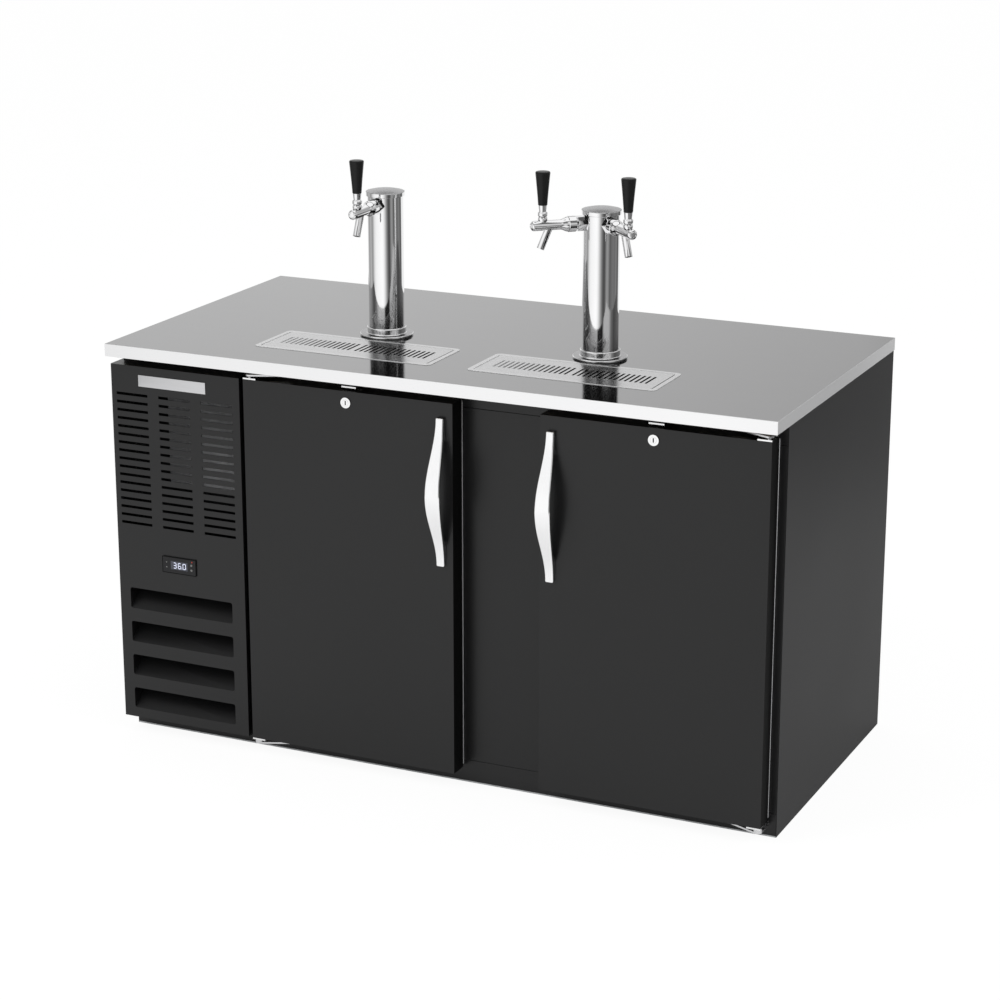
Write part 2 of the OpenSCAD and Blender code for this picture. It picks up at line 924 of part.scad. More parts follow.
// Cut-out of the countertop for a drip tray
module tray_cut() {
    translate([0, 0, under_z - cut])
        linear_extrude(top_edge + 2 * cut)
            round_rect(
                recess_l + 2 * tray_t + 2 * drop_fit,
                recess_w + 2 * tray_t + 2 * drop_fit,
                recess_r + tray_t + drop_fit
            );
}

module countertop() {
    color(stainless)
        difference() {
            span([-top_w / 2, -top_d / 2, under_z], [top_w / 2, top_d / 2, top_z]);
            span(
                [-top_w / 2 + top_sheet, -top_d / 2 + top_sheet, under_z - cut],
                [top_w / 2 - top_sheet, top_d / 2 - top_sheet, top_z - top_sheet]
            );
            tray_places()
                tray_cut();
            passages();
        }
}

module countertop_core() {
    color(galvanised)
        difference() {
            span(
                [-top_w / 2 + top_sheet, -top_d / 2 + top_sheet, under_z],
                [top_w / 2 - top_sheet, top_d / 2 - top_sheet, top_z - top_sheet]
            );
            tray_places()
                tray_cut();
            passages();
        }
}

// Flange on the countertop, recess for the grid and the ledge that carries it
module tray_rim() {
    difference() {
        union() {
            translate([0, 0, top_z])
                linear_extrude(tray_t)
                    round_rect(tray_l, tray_w, tray_r);
            translate([0, 0, top_z - tray_step - tray_t])
                linear_extrude(tray_step + tray_t)
                    round_rect(recess_l + 2 * tray_t, recess_w + 2 * tray_t, recess_r + tray_t);
        }
        translate([0, 0, top_z - tray_step])
            linear_extrude(tray_step + tray_t + cut)
                round_rect(recess_l, recess_w, recess_r);
        translate([0, 0, top_z - tray_step - tray_t - cut])
            linear_extrude(tray_t + 2 * cut)
                square([well_l, well_w], center = true);
    }
}

// Floor, long sides and ends of the well, sheets that are welded up under the rim
module tray_well() {
    x = well_l / 2;
    y = well_w / 2;
    low = top_z - tray_depth;
    foot = low + tray_t + seam;
    head = top_z - tray_step - tray_t - seam;
    span([-x - tray_t, -y - tray_t, low], [x + tray_t, y + tray_t, low + tray_t]);
    for (s = [0, 1]) {
        mirror([0, s, 0])
            span([-x - tray_t, y, foot], [x + tray_t, y + tray_t, head]);
        mirror([s, 0, 0])
            span([x, -y + seam, foot], [x + tray_t, y - seam, head]);
    }
}

module drip_trays() {
    color(stainless)
        tray_places() {
            tray_rim();
            tray_well();
        }
}

module drip_grid() {
    translate([0, 0, top_z - tray_step + grid_lift])
        linear_extrude(grid_t)
            difference() {
                round_rect(recess_l - 2 * grid_gap, recess_w - 2 * drop_fit, recess_r);
                for (s = [-1, 1], k = [0:grid_n - 1])
                    translate([s * (grid_bridge / 2 + k * grid_pitch), 0])
                        round_rect(grid_slot_w, grid_slot_l, grid_slot_r);
            }
}

module left_drip_grid() {
    color(stainless)
        tray_place(-col_x)
            drip_grid();
}

module right_drip_grid() {
    color(stainless)
        tray_place(col_x)
            drip_grid();
}

// Height of a scoop's lower edge, counted from below
function scoop_z(k) = door_z + scoop_up + k * scoop_pitch;

// Sloping blade and end cheeks behind a scoop's opening
module scoop(z) {
    blade_z = z + scoop_h - scoop_gap;
    x0 = vent_x - scoop_w / 2;
    profile_x(x0 - grille_t, scoop_w + 2 * grille_t)
        polygon([
            [door_front, z - grille_t],
            [door_front, z],
            [door_front + scoop_d, blade_z],
            [door_front + scoop_d, blade_z - grille_t]
        ]);
    for (x = [x0 - grille_t, x0 + scoop_w])
        profile_x(x, grille_t)
            polygon([
                [door_front, z - grille_t],
                [door_front, z + scoop_h + grille_t],
                [door_front + scoop_d, z + scoop_h + grille_t],
                [door_front + scoop_d, blade_z - grille_t]
            ]);
}

module grille_panel() {
    color(black_steel)
        difference() {
            union() {
                difference() {
                    span([-cab_x, door_front, door_z], [grille_x, cab_front, door_top]);
                    span(
                        [-cab_x + grille_t, door_front + grille_t, door_z + grille_t],
                        [grille_x - grille_t, cab_front + cut, door_top - grille_t]
                    );
                    for (k = [0:scoop_n - 1])
                        translate([vent_x, 0, scoop_z(k) + scoop_h / 2])
                            profile_y(door_front - cut, grille_t + 2 * cut)
                                round_rect(scoop_w, scoop_h, scoop_r);
                }
                for (k = [0:scoop_n - 1])
                    scoop(scoop_z(k));
            }
            for (c = [0:slot_cols - 1], r = [0:slot_rows - 1])
                translate([
                    vent_x + (c - (slot_cols - 1) / 2) * slot_pitch_x,
                    door_front + grille_t / 2,
                    door_z + slot_top_up - r * slot_pitch_z
                ])
                    cube([slot_l, grille_t + 2 * cut, slot_h], center = true);
            translate([vent_x, door_front + grille_t / 2, ctrl_z])
                cube([ctrl_w + 2 * seat_fit, grille_t + 2 * cut, ctrl_h + 2 * seat_fit], center = true);
        }
}

module key_places() {
    for (s = [-1, 1])
        translate([vent_x + key_out, door_front - bezel_t - key_proud, ctrl_z + s * key_pitch / 2])
            children();
}

module controller_case() {
    color(black_steel)
        difference() {
            union() {
                translate([vent_x, 0, ctrl_z])
                    profile_y(door_front - bezel_t, bezel_t)
                        round_rect(bezel_w, bezel_h, bezel_r);
                translate([vent_x, 0, ctrl_z])
                    profile_y(door_front, ctrl_d)
                        square([ctrl_w, ctrl_h], center = true);
            }
            translate([vent_x, door_front - bezel_t, ctrl_z])
                cube([window_w, 2 * window_t, window_h], center = true);
            key_places()
                bar_y(key_d + 2 * move_fit, key_l + key_travel + move_fit);
        }
}

module display_window() {
    color([0.05, 0.06, 0.08])
        translate([vent_x, door_front - bezel_t + window_t / 2, ctrl_z])
            cube([window_w - 2 * seat_fit, window_t, window_h - 2 * seat_fit], center = true);
}

module key(s) {
    translate([vent_x + key_out, door_front - bezel_t - key_proud, ctrl_z + s * key_pitch / 2])
        bar_y(key_d, key_l);
}

module key_up() {
    color("gray")
        key(1);
}

module key_down() {
    color("gray")
        key(-1);
}

// Half outline of the compressor's pot, with an elliptic dome
module pot_outline() {
    pot_r = comp_d / 2;
    polygon([
        [0, 0],
        [pot_r - pot_corner, 0],
        [pot_r, pot_corner],
        for (a = [0:10:90]) [pot_r * cos(a), comp_h - comp_dome + comp_dome * sin(a)]
    ]);
}

module compressor() {
    color(black_rubber)
        translate([mach_x, comp_y, comp_z])
            union() {
                rotate_extrude()
                    pot_outline();
                translate([0, 0, comp_h / 2])
                    cylinder(d = comp_d + 2 * seam_lip, h = seam_lip);
                translate([-comp_plate / 2, -comp_plate / 2, -plate_t])
                    cube([comp_plate, comp_plate, plate_t]);
            }
}

module compressor_feet() {
    color(black_rubber)
        translate([mach_x, comp_y, base_t])
            for (x = [-1, 1], y = [-1, 1])
                translate([x, y, 0] * (comp_plate - comp_foot_d) / 2)
                    cylinder(d1 = comp_foot_d, d2 = comp_foot_top, h = comp_foot_h);
}

module condenser_coil() {
    half = coil_side / 2;
    pitch = coil_side / fin_n;
    color([0.45, 0.46, 0.48])
        translate([mach_x, coil_y, 0]) {
            difference() {
                span([-half, 0, base_t + coil_up], [half, coil_d, base_t + coil_up + coil_side]);
                for (k = [0:fin_n - 1])
                    translate([-half + (k + 0.5) * pitch, fin_d / 2 - cut, fan_z])
                        cube([pitch / 2, fin_d + 2 * cut, coil_side - 2 * plate_t], center = true);
            }
            for (x = [-half - plate_t, half])
                span([x, 0, base_t], [x + plate_t, coil_d, base_t + coil_up + coil_side]);
            for (k = [0:bend_n - 1])
                translate([
                    -half - plate_t,
                    coil_d / 2,
                    base_t + coil_up + coil_side * (k + 0.5) / bend_n
                ])
                    rotate([90, 0, -90])
                        rotate([0, 0, 90])
                            rotate_extrude(angle = 180)
                                translate([bend_r, 0])
                                    circle(d = tube_d);
        }
}

module fan_shroud() {
    half = coil_side / 2;
    ring_d = fan_d + 2 * fan_fit;
    color(galvanised)
        difference() {
            union() {
                span(
                    [mach_x - half, shroud_y, fan_z - half],
                    [mach_x + half, shroud_y + shroud_t, fan_z + half]
                );
                translate([mach_x, shroud_y, fan_z])
                    bar_y(ring_d + 2 * shroud_t, shroud_t + shroud_l);
            }
            translate([mach_x, shroud_y - cut, fan_z])
                bar_y(ring_d, shroud_t + shroud_l + 2 * cut);
        }
}

// Axial fan along +Z, centred: a bored hub and pitched blades
module axial_fan(d, hub_d, w, n) {
    difference() {
        union() {
            translate([0, 0, -w / 2])
                cylinder(d = hub_d, h = w);
            intersection() {
                translate([0, 0, -w / 2])
                    cylinder(d = d, h = w);
                for (k = [0:n - 1])
                    rotate([0, 0, k * 360 / n])
                        rotate([blade_pitch, 0, 0])
                            translate([d / 4, 0, 0])
                                cube([d / 2, w * blade_chord, blade_t], center = true);
            }
        }
        translate([0, 0, -w / 2 - cut])
            cylinder(d = shaft_d + 2 * run_fit, h = w + 2 * cut);
    }
}

module condenser_fan() {
    color("gray")
        translate([mach_x, fan_y, fan_z])
            rotate([-90, 0, 0])
                axial_fan(fan_d, hub_d, shroud_l - fan_fit, fan_n);
}

module evaporator_fan() {
    color("gray")
        translate([evap_fan_x, evap_fan_y, evap_fan_z])
            rotate([0, 90, 0])
                axial_fan(evap_fan_d, evap_hub_d, evap_blade_w, fan_n);
}

// Condenser motor on its stand, and evaporator motor on the wall
module fan_motors() {
    color("dimgray") {
        translate([mach_x, motor_y, fan_z])
            bar_y(motor_d, motor_l);
        translate([mach_x, fan_y - shroud_l / 2, fan_z])
            bar_y(shaft_d, motor_y - fan_y + shroud_l / 2 + cut);
        span(
            [mach_x - stand_w / 2, motor_y + motor_l / 3, base_t],
            [mach_x + stand_w / 2, motor_y + motor_l / 3 + plate_t, fan_z]
        );
        translate([keg_x0, evap_fan_y, evap_fan_z]) {
            bar_x(evap_motor_d, evap_fan_x - evap_blade_w / 2 - fan_fit - keg_x0);
            bar_x(shaft_d, evap_fan_x + evap_blade_w / 2 - keg_x0);
        }
    }
}

// Straight tube between two points that differ along one axis
module tube(from, to, d) {
    run = to - from;
    translate(from)
        if (run[0] != 0)
            rotate([0, run[0] > 0 ? 90 : -90, 0])
                cylinder(d = d, h = norm(run));
        else if (run[1] != 0)
            rotate([run[1] > 0 ? -90 : 90, 0, 0])
                cylinder(d = d, h = norm(run));
        else
            rotate([run[2] > 0 ? 0 : 180, 0, 0])
                cylinder(d = d, h = norm(run));
}

// Line from the condenser's end plate back along the partition and then to a stop
module coil_line(z, y, stop_x) {
    end_x = mach_x + coil_side / 2 + plate_t;
    mid_y = coil_y + coil_d / 2;
    tube([end_x, mid_y, z], [line_x, mid_y, z], tube_d);
    tube([line_x, mid_y, z], [line_x, y, z], tube_d);
    tube([line_x, y, z], [stop_x, y, z], tube_d);
    for (at = [mid_y, y])
        translate([line_x, at, z])
            sphere(d = joint_d);
}

module refrigerant_lines() {
    shell_x = mach_x + comp_d / 2;
    color(copper) {
        coil_line(fan_z - line_drop, drier_y + drier_l + line_gap, part_x);
        translate([line_x, drier_y, fan_z - line_drop])
            bar_y(drier_d, drier_l);
        coil_line(fan_z - line_drop / 2, comp_y, shell_x);
        tube([shell_x, comp_y, fan_z - line_drop], [part_x, comp_y, fan_z - line_drop], tube_d);
    }
}

module control_box() {
    color(galvanised)
        translate([part_x - ebox_w / 2, 0, ebox_up + ebox_h / 2])
            profile_y(coil_y, ebox_d)
                round_rect(ebox_w, ebox_h, ebox_r);
}

module evaporator_cover() {
    color("whitesmoke")
        difference() {
            span([keg_x0, evap_y, evap_z], [keg_x0 + evap_w, evap_y + evap_l, head_z]);
            span(
                [keg_x0 - cut, evap_y + evap_t, evap_z + evap_t],
                [keg_x0 + evap_w - evap_t, evap_y + evap_l - evap_t, head_z + cut]
            );
            translate([keg_x0 + evap_w - evap_t - cut, evap_fan_y, evap_fan_z])
                bar_x(evap_fan_d + 2 * fan_fit, evap_t + 2 * cut);
            for (k = [0:evap_slots - 1])
                translate([
                    keg_x0 + evap_w / 2,
                    evap_y + evap_coil_l / 2 + (k - (evap_slots - 1) / 2) * vent_pitch,
                    evap_z
                ])
                    cube([evap_coil_d, slot_h, 4 * evap_t], center = true);
        }
}

module evaporator_coil() {
    pitch = evap_coil_l / fin_n;
    color([0.62, 0.64, 0.66])
        difference() {
            span(
                [keg_x0, evap_y + evap_inset, evap_z + evap_inset],
                [keg_x0 + evap_coil_d, evap_y + evap_inset + evap_coil_l, head_z]
            );
            for (k = [0:fin_n - 1])
                translate([keg_x0 + evap_coil_d, evap_y + evap_inset + (k + 0.5) * pitch, evap_fan_z])
                    cube([2 * fin_d, pitch / 2, evap_h], center = true);
        }
}

// Plan of a hinge bracket in the door's local frame: a plate whose front edge runs out of the pin's boss
module bracket_plan() {
    boss_r = boss_d / 2;
    pin = [hinge_inset, hinge_y];
    far = [hinge_inset - boss_r + bracket_w, cab_front - bracket_nose];
    turn = atan2(far.y - pin.y, far.x - pin.x) - acos(boss_r / norm(far - pin));
    translate(pin)
        circle(d = boss_d);
    polygon([
        [pin.x - boss_r, pin.y],
        [pin.x - boss_r, cab_front],
        [far.x, cab_front],
        far,
        pin + boss_r * [cos(turn), sin(turn)]
    ]);
}

// Bracket with its flange against the cabinet face and its pin towards the door
module hinge_bracket(z, flange_z, pin_from, pin_to) {
    translate([0, 0, z])
        linear_extrude(hinge_t)
            bracket_plan();
    span(
        [hinge_inset - boss_d / 2, cab_front - hinge_t / 2, min(z, flange_z)],
        [hinge_inset - boss_d / 2 + bracket_w, cab_front, max(z + hinge_t, flange_z)]
    );
    translate([hinge_inset, hinge_y, pin_from])
        cylinder(d = pin_d, h = pin_to - pin_from);
}

module hinge_brackets() {
    high = door_top + hinge_t + hinge_play;
    low = door_z - 2 * hinge_t - knuckle_h - knuckle_play;
    color(chrome)
        both_doors() {
            hinge_bracket(high, under_z, door_top - pin_len, high + hinge_t);
            hinge_bracket(low, door_z - hinge_play, low, door_z + pin_len);
            translate([hinge_inset, hinge_y, low])
                cylinder(d = boss_d, h = hinge_t + knuckle_h);
        }
}

module strike_plates() {
    color(chrome)
        both_doors()
            profile_x(lock_x - strike_w / 2, strike_w)
                polygon([
                    [cam_y - strike_ahead, under_z],
                    [cam_y - strike_ahead, under_z - strike_h],
                    [cam_y - strike_ahead + strike_t, under_z - strike_h],
                    [cam_y - strike_ahead + strike_t, under_z - strike_t],
                    [cab_front, under_z - strike_t],
                    [cab_front, under_z]
                ]);
}

// Room for the lock, its cam and the hinge pins inside a door
module door_holes() {
    translate([lock_x, door_front - cut, lock_z])
        bar_y(lock_barrel_d + 2 * seat_fit, lock_barrel_l + cut);
    intersection() {
        translate([lock_x, cam_y - cam_room, lock_z])
            bar_y(2 * (cam_l + cam_room), cam_t + 2 * cam_room);
        translate([lock_x, cam_y - 2 * cam_room, lock_z])
            translate([-lock_plug_d / 2 - cam_room, 0, -lock_plug_d / 2 - cam_room])
                cube(2 * cam_l);
    }
    for (z = [door_z - cut, door_top - pin_len - pin_room])
        translate([hinge_inset, hinge_y, z])
            cylinder(d = pin_d + 2 * move_fit, h = pin_len + pin_room + cut);
}

module door_skin() {
    difference() {
        span([0, door_front, door_z], [door_w, door_back, door_top]);
        span(
            [skin, door_front + skin, door_z + skin],
            [door_w - skin, door_back + cut, door_top - skin]
        );
        door_holes();
    }
}

// Insulated inner panel with its raised dam
module door_liner() {
    difference() {
        union() {
            span(
                [skin, door_front + skin, door_z + skin],
                [door_w - skin, door_back, door_top - skin]
            );
            span(
                [dam_inset, door_back - cut, door_z + dam_inset],
                [door_w - dam_inset, door_back + dam_h, door_top - dam_inset]
            );
        }
        door_holes();
    }
}

// One layer of the gasket, from its own inset to the common opening
module gasket_layer(inset, t) {
    profile_y(door_back, t)
        difference() {
            round_rect(door_w - 2 * inset, door_h - 2 * inset, gasket_r);
            square([
                door_w - 2 * gasket_inset - 2 * gasket_w,
                door_h - 2 * gasket_inset - 2 * gasket_w
            ], center = true);
        }
}

module door_gasket() {
    translate([door_w / 2, 0, door_z + door_h / 2]) {
        gasket_layer(gasket_base_inset, gasket_base_t);
        gasket_layer(gasket_inset, door_standoff - gasket_gap);
    }
}

// Radius of an arc that rises by h over the chord l
function arc_r(l, h) = (l * l / 4 + h * h) / (2 * h);

// Points along an edge that swells from low at its ends to high in its middle
function swelling(low, high) = [
    for (k = [0:handle_n])
        [low + (high - low) * (1 - cos(360 * k / handle_n)) / 2, handle_l * (k / handle_n - 0.5)]
];

// Side outline below a handle's outer face, moved back by t
module bow(t) {
    polygon(concat(
        swelling(t - handle_out_end, t - handle_out),
        [[t, handle_l / 2], [t, -handle_l / 2]]
    ));
}

// Bowed strap on two feet: its side outline crossed with its front outline
module door_handle() {
    side = swelling(handle_w_end / 2, handle_w_mid / 2);
    translate([door_w - handle_inset, door_front, handle_z])
        intersection() {
            profile_x(-handle_w_mid, 2 * handle_w_mid)
                difference() {
                    bow(0);
                    intersection() {
                        bow(handle_t);
                        translate([-handle_out, handle_foot - handle_l / 2])
                            square([2 * handle_out, handle_l - 2 * handle_foot]);
                    }
                }
            profile_y(-2 * handle_out, 3 * handle_out)
                polygon(concat(side, -side));
        }
}

// Lock case and the hinge plates on the door's edges
module door_fittings() {
    difference() {
        union() {
            translate([lock_x, door_front - lock_face_t, lock_z])
                bar_y(lock_face_d, lock_face_t);
            translate([lock_x, door_front, lock_z])
                bar_y(lock_barrel_d, lock_barrel_l - cam_room);
        }
        translate([lock_x, door_front - lock_face_t - cut, lock_z])
            bar_y(lock_plug_d + 2 * run_fit, lock_face_t + lock_barrel_l + 2 * cut);
    }
    for (z = [door_z - hinge_t, door_top])
        difference() {
            span([0, door_front, z], [hinge_plate_w, hinge_y + boss_d / 2, z + hinge_t]);
            translate([hinge_inset, hinge_y, z - cut])
                cylinder(d = pin_d + 2 * run_fit, h = hinge_t + 2 * cut);
        }
}

// Plug with its keyway, and the cam that lies sideways until it is turned up
module lock_plug() {
    difference() {
        union() {
            translate([lock_x, door_front - lock_face_t, lock_z])
                bar_y(lock_plug_d, lock_face_t + lock_barrel_l + cam_t);
            span(
                [lock_x, cam_y, lock_z - cam_w / 2],
                [lock_x + cam_l, cam_y + cam_t, lock_z + cam_w / 2]
            );
        }
        translate([lock_x, door_front - lock_face_t, lock_z])
            cube([keyway_w, 2 * keyway_d, keyway_l], center = true);
    }
}

module left_door_skin() {
    color(black_steel)
        left_door()
            door_skin();
}

module left_door_liner() {
    color(galvanised)
        left_door()
            door_liner();
}

module left_door_gasket() {
    color(grey_rubber)
        left_door()
            door_gasket();
}

module left_door_handle() {
    color(chrome)
        left_door()
            door_handle();
}

module left_door_fittings() {
    color(chrome)
        left_door()
            door_fittings();
}

module left_lock_plug() {
    color(chrome)
        left_door()
            lock_plug();
}

module right_door_skin() {
    color(black_steel)
        right_door()
            door_skin();
}

module right_door_liner() {
    color(galvanised)
        right_door()
            door_liner();
}

module right_door_gasket() {
    color(grey_rubber)
        right_door()
            door_gasket();
}

module right_door_handle() {
    color(chrome)
        right_door()
            door_handle();
}

module right_door_fittings() {
    color(chrome)
        right_door()
            door_fittings();
}

module right_lock_plug() {
    color(chrome)
        right_door()
            lock_plug();
}

module column_tubes() {
    foot_z = top_z + col_gasket_t;
    color(chrome)
        difference() {
            col_places()
                translate([0, 0, foot_z])
                    cylinder(d = col_d, h = tube_top - foot_z);
            col_places()
                translate([0, 0, foot_z - cut])
                    cylinder(d = col_d - 2 * col_wall, h = tube_top - foot_z + 2 * cut);
            tap_places()
                bar_x(shank_d + 2 * seat_fit, col_d);
        }
}

module column_flanges() {
    color(chrome)
        col_places()
            translate([0, 0, top_z + col_gasket_t])
                rotate_extrude()
                    polygon([
                        [col_d / 2 + seat_fit, 0],
                        [flange_d / 2, 0],
                        [flange_d / 2, flange_t / 2],
                        [flange_d / 2 - flange_t / 2, flange_t],
                        [collar_d / 2, flange_t],
                        [collar_d / 2, flange_t + collar_h - collar_bevel],
                        [collar_d / 2 - collar_bevel, flange_t + collar_h],
                        [col_d / 2 + seat_fit, flange_t + collar_h]
                    ]);
}

module column_gaskets() {
    color(black_rubber)
        col_places()
            translate([0, 0, top_z])
                difference() {
                    cylinder(d = flange_d - 2 * flange_t, h = col_gasket_t);
                    translate([0, 0, -cut])
                        cylinder(d = passage_d, h = col_gasket_t + 2 * cut);
                }
}

module column_caps() {
    dome_r = arc_r(cap_d, cap_dome);
    lean = asin(cap_d / 2 / dome_r);
    color(chrome)
        col_places()
            rotate_extrude()
                polygon([
                    [0, tube_top],
                    [col_d / 2 + seat_fit, tube_top],
                    [col_d / 2 + seat_fit, tube_top - cap_skirt],
                    [cap_d / 2, tube_top - cap_skirt],
                    for (k = [8:-1:0]) [dome_r * sin(lean * k / 8), col_top - dome_r + dome_r * cos(lean * k / 8)]
                ]);
}

module shanks() {
    color(chrome)
        tap_places()
            difference() {
                translate([shank_in, 0, 0])
                    bar_x(shank_d, body_u - shank_in - coupling_l / 2);
                translate([shank_in - cut, 0, 0])
                    bar_x(shank_bore, body_u);
            }
}

// Hexagon nut along the faucet's axis with bevelled corners
module hex_nut(u, l, af) {
    corner = af / cos(30);
    intersection() {
        translate([u, 0, 0])
            rotate([0, 90, 0])
                rotate([0, 0, 30])
                    cylinder(d = corner, h = l, $fn = 6);
        translate([u, 0, 0])
            rotate([0, 90, 0])
                rotate_extrude()
                    polygon([
                        [0, 0],
                        [corner / 2, 0],
                        [corner / 2, l - nut_bevel],
                        [corner / 2 - nut_bevel, l],
                        [0, l]
                    ]);
    }
}

module faucet_nuts() {
    color(chrome)
        tap_places()
            difference() {
                union() {
                    difference() {
                        hex_nut(0, col_nut_reach, col_nut_af);
                        translate([0, 0, -col_nut_af])
                            cylinder(d = col_d, h = 2 * col_nut_af);
                    }
                    hex_nut(inner_nut_u, inner_nut_t, col_nut_af - nut_bevel);
                    translate([coupling_u, 0, 0])
                        rotate([0, 90, 0])
                            rotate_extrude()
                                polygon([
                                    [0, 0],
                                    [coupling_d / 2 - nut_bevel, 0],
                                    [coupling_d / 2, nut_bevel],
                                    [coupling_d / 2, coupling_l - nut_bevel],
                                    [coupling_d / 2 - nut_bevel, coupling_l],
                                    [0, coupling_l]
                                ]);
                }
                bar_x(shank_d + 2 * seat_fit, body_u - coupling_l / 2);
                translate([body_u - coupling_l / 2 - cut, 0, 0])
                    bar_x(tap_tail_d + 2 * seat_fit, coupling_l);
            }
}

// Smooth step from 0 to 1
function ease(t) = t * t * (3 - 2 * t);

// Half outline of a faucet's body: tail in the coupling nut, flare, barrel and rounded front
module body_outline() {
    r = tap_d / 2;
    flare = tap_flare_d / 2 - r;
    polygon([
        [0, body_u - coupling_l / 2],
        [tap_tail_d / 2, body_u - coupling_l / 2],
        [tap_tail_d / 2, body_u],
        for (k = [0:8]) [r + flare * (1 - ease(k / 8)), body_u + tap_flare_l * k / 8],
        for (a = [0:15:90]) [r - nose_r + nose_r * cos(a), tap_reach - nose_r + nose_r * sin(a)],
        [0, tap_reach]
    ]);
}

module spout_place() {
    translate([tap_reach - spout_back, 0, 0])
        rotate([0, 180 - spout_tilt, 0])
            children();
}

module faucet_bodies() {
    color(chrome)
        tap_places()
            difference() {
                union() {
                    rotate([0, 90, 0])
                        rotate_extrude()
                            body_outline();
                    spout_place()
                        cylinder(d = spout_d, h = spout_l);
                    translate([lever_u, 0, pivot_up])
                        sphere(bonnet_r);
                }
                translate([body_u - coupling_l, 0, 0])
                    bar_x(chamber_d, seat_u - body_u + coupling_l);
                translate([seat_u - cut, 0, 0])
                    bar_x(tap_bore, lever_u + plunger_ahead + plunger_room - seat_u + cut);
                spout_place()
                    cylinder(d = spout_bore, h = spout_l + cut);
                translate([lever_u, 0, pivot_up]) {
                    sphere(socket_r);
                    cylinder(r1 = 0, r2 = 2 * bonnet_r, h = 2 * bonnet_r / tan(bonnet_open));
                }
                span(
                    [lever_u - slot_rear, -finger_d / 2 - move_fit, 0],
                    [lever_u + slot_fore, finger_d / 2 + move_fit, pivot_up]
                );
            }
}

// Lever with its ball at the origin: finger below, bead and ferrule above
module tap_lever() {
    cup_r = bonnet_r + move_fit;
    bead_top = bead_up + bead_h;
    sphere(ball_r);
    cylinder(d = neck_d, h = bead_top);
    translate([0, 0, -pivot_up])
        cylinder(d = finger_d, h = pivot_up);
    translate([0, 0, -pivot_up])
        sphere(d = finger_d);
    difference() {
        rotate_extrude()
            polygon([
                [0, bead_up],
                [bead_d / 2 - bead_bevel, bead_up],
                [bead_d / 2, bead_up + bead_bevel],
                [bead_d / 2, bead_top - bead_bevel],
                [ferrule_d_low / 2, bead_top],
                [ferrule_d / 2, bead_top + ferrule_h],
                [stud_d / 2, bead_top + ferrule_h],
                [stud_d / 2, bead_top + ferrule_h + stud_l],
                [0, bead_top + ferrule_h + stud_l]
            ]);
        sphere(cup_r);
    }
}

// Tapered grip with a bevelled top, bored for the stud
module tap_handle() {
    foot = bead_up + bead_h + ferrule_h;
    difference() {
        translate([0, 0, foot])
            rotate_extrude()
                polygon([
                    [0, 0],
                    [grip_d_low / 2, 0],
                    [grip_d_top / 2, grip_h - grip_bevel],
                    [grip_d_top / 2 - grip_bevel, grip_h],
                    [0, grip_h]
                ]);
        translate([0, 0, foot - cut])
            cylinder(d = stud_d + 2 * seat_fit, h = stud_l + 2 * cut);
    }
}

// Valve plunger in the body's bore: a notched head under the lever and a stem to the seal
module tap_plunger() {
    plug_d = tap_bore - 2 * run_fit;
    tip_u = lever_u + plunger_ahead;
    seal_u = seat_u - move_fit - seal_l;
    difference() {
        union() {
            translate([tip_u - plunger_head, 0, 0])
                bar_x(plug_d, plunger_head);
            translate([seal_u, 0, 0])
                bar_x(stem_d, tip_u - seal_u - cut);
            translate([seal_u, 0, 0])
                bar_x(seal_d, seal_l);
        }
        span(
            [lever_u - notch_rear, -tap_bore, -finger_d / 2 - notch_room],
            [lever_u + notch_fore, tap_bore, tap_bore]
        );
    }
}

module lever_place(i) {
    tap_place(i)
        translate([lever_u, 0, pivot_up])
            children();
}

module single_tap_lever() {
    color(chrome)
        lever_place(0)
            tap_lever();
}

module left_tap_lever() {
    color(chrome)
        lever_place(1)
            tap_lever();
}

module right_tap_lever() {
    color(chrome)
        lever_place(2)
            tap_lever();
}

module single_tap_handle() {
    color(black_rubber)
        lever_place(0)
            tap_handle();
}

module left_tap_handle() {
    color(black_rubber)
        lever_place(1)
            tap_handle();
}

module right_tap_handle() {
    color(black_rubber)
        lever_place(2)
            tap_handle();
}

module single_tap_plunger() {
    color(stainless)
        tap_place(0)
            tap_plunger();
}

module left_tap_plunger() {
    color(stainless)
        tap_place(1)
            tap_plunger();
}

module right_tap_plunger() {
    color(stainless)
        tap_place(2)
            tap_plunger();
}

base_pan();
side_panels();
back_panel();
rear_cover();
cord_grommet();
front_frame();
wall_insulation();
inner_liner();
countertop();
countertop_core();
drip_trays();
grille_panel();
controller_case();
display_window();
key_up();
key_down();
compressor();
compressor_feet();
condenser_coil();
fan_shroud();
fan_motors();
condenser_fan();
refrigerant_lines();
control_box();
evaporator_cover();
evaporator_coil();
evaporator_fan();
hinge_brackets();
strike_plates();
left_door_skin();
left_door_liner();
left_door_gasket();
left_door_handle();
left_door_fittings();
left_lock_plug();
right_door_skin();
right_door_liner();
right_door_gasket();
right_door_handle();
right_door_fittings();
right_lock_plug();
column_tubes();
column_flanges();
column_gaskets();
column_caps();
shanks();
faucet_nuts();
faucet_bodies();
single_tap_lever();
left_tap_lever();
right_tap_lever();
single_tap_handle();
left_tap_handle();
right_tap_handle();
single_tap_plunger();
left_tap_plunger();
right_tap_plunger();
left_drip_grid();
right_drip_grid();
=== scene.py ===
"""Looks of the direct draw beer dispenser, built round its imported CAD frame."""
import json
import logging
import math
from dataclasses import dataclass
from enum import Enum
from typing import Callable, Iterable, Sequence, Union

import bmesh
import bpy
from mathutils import Matrix, Vector


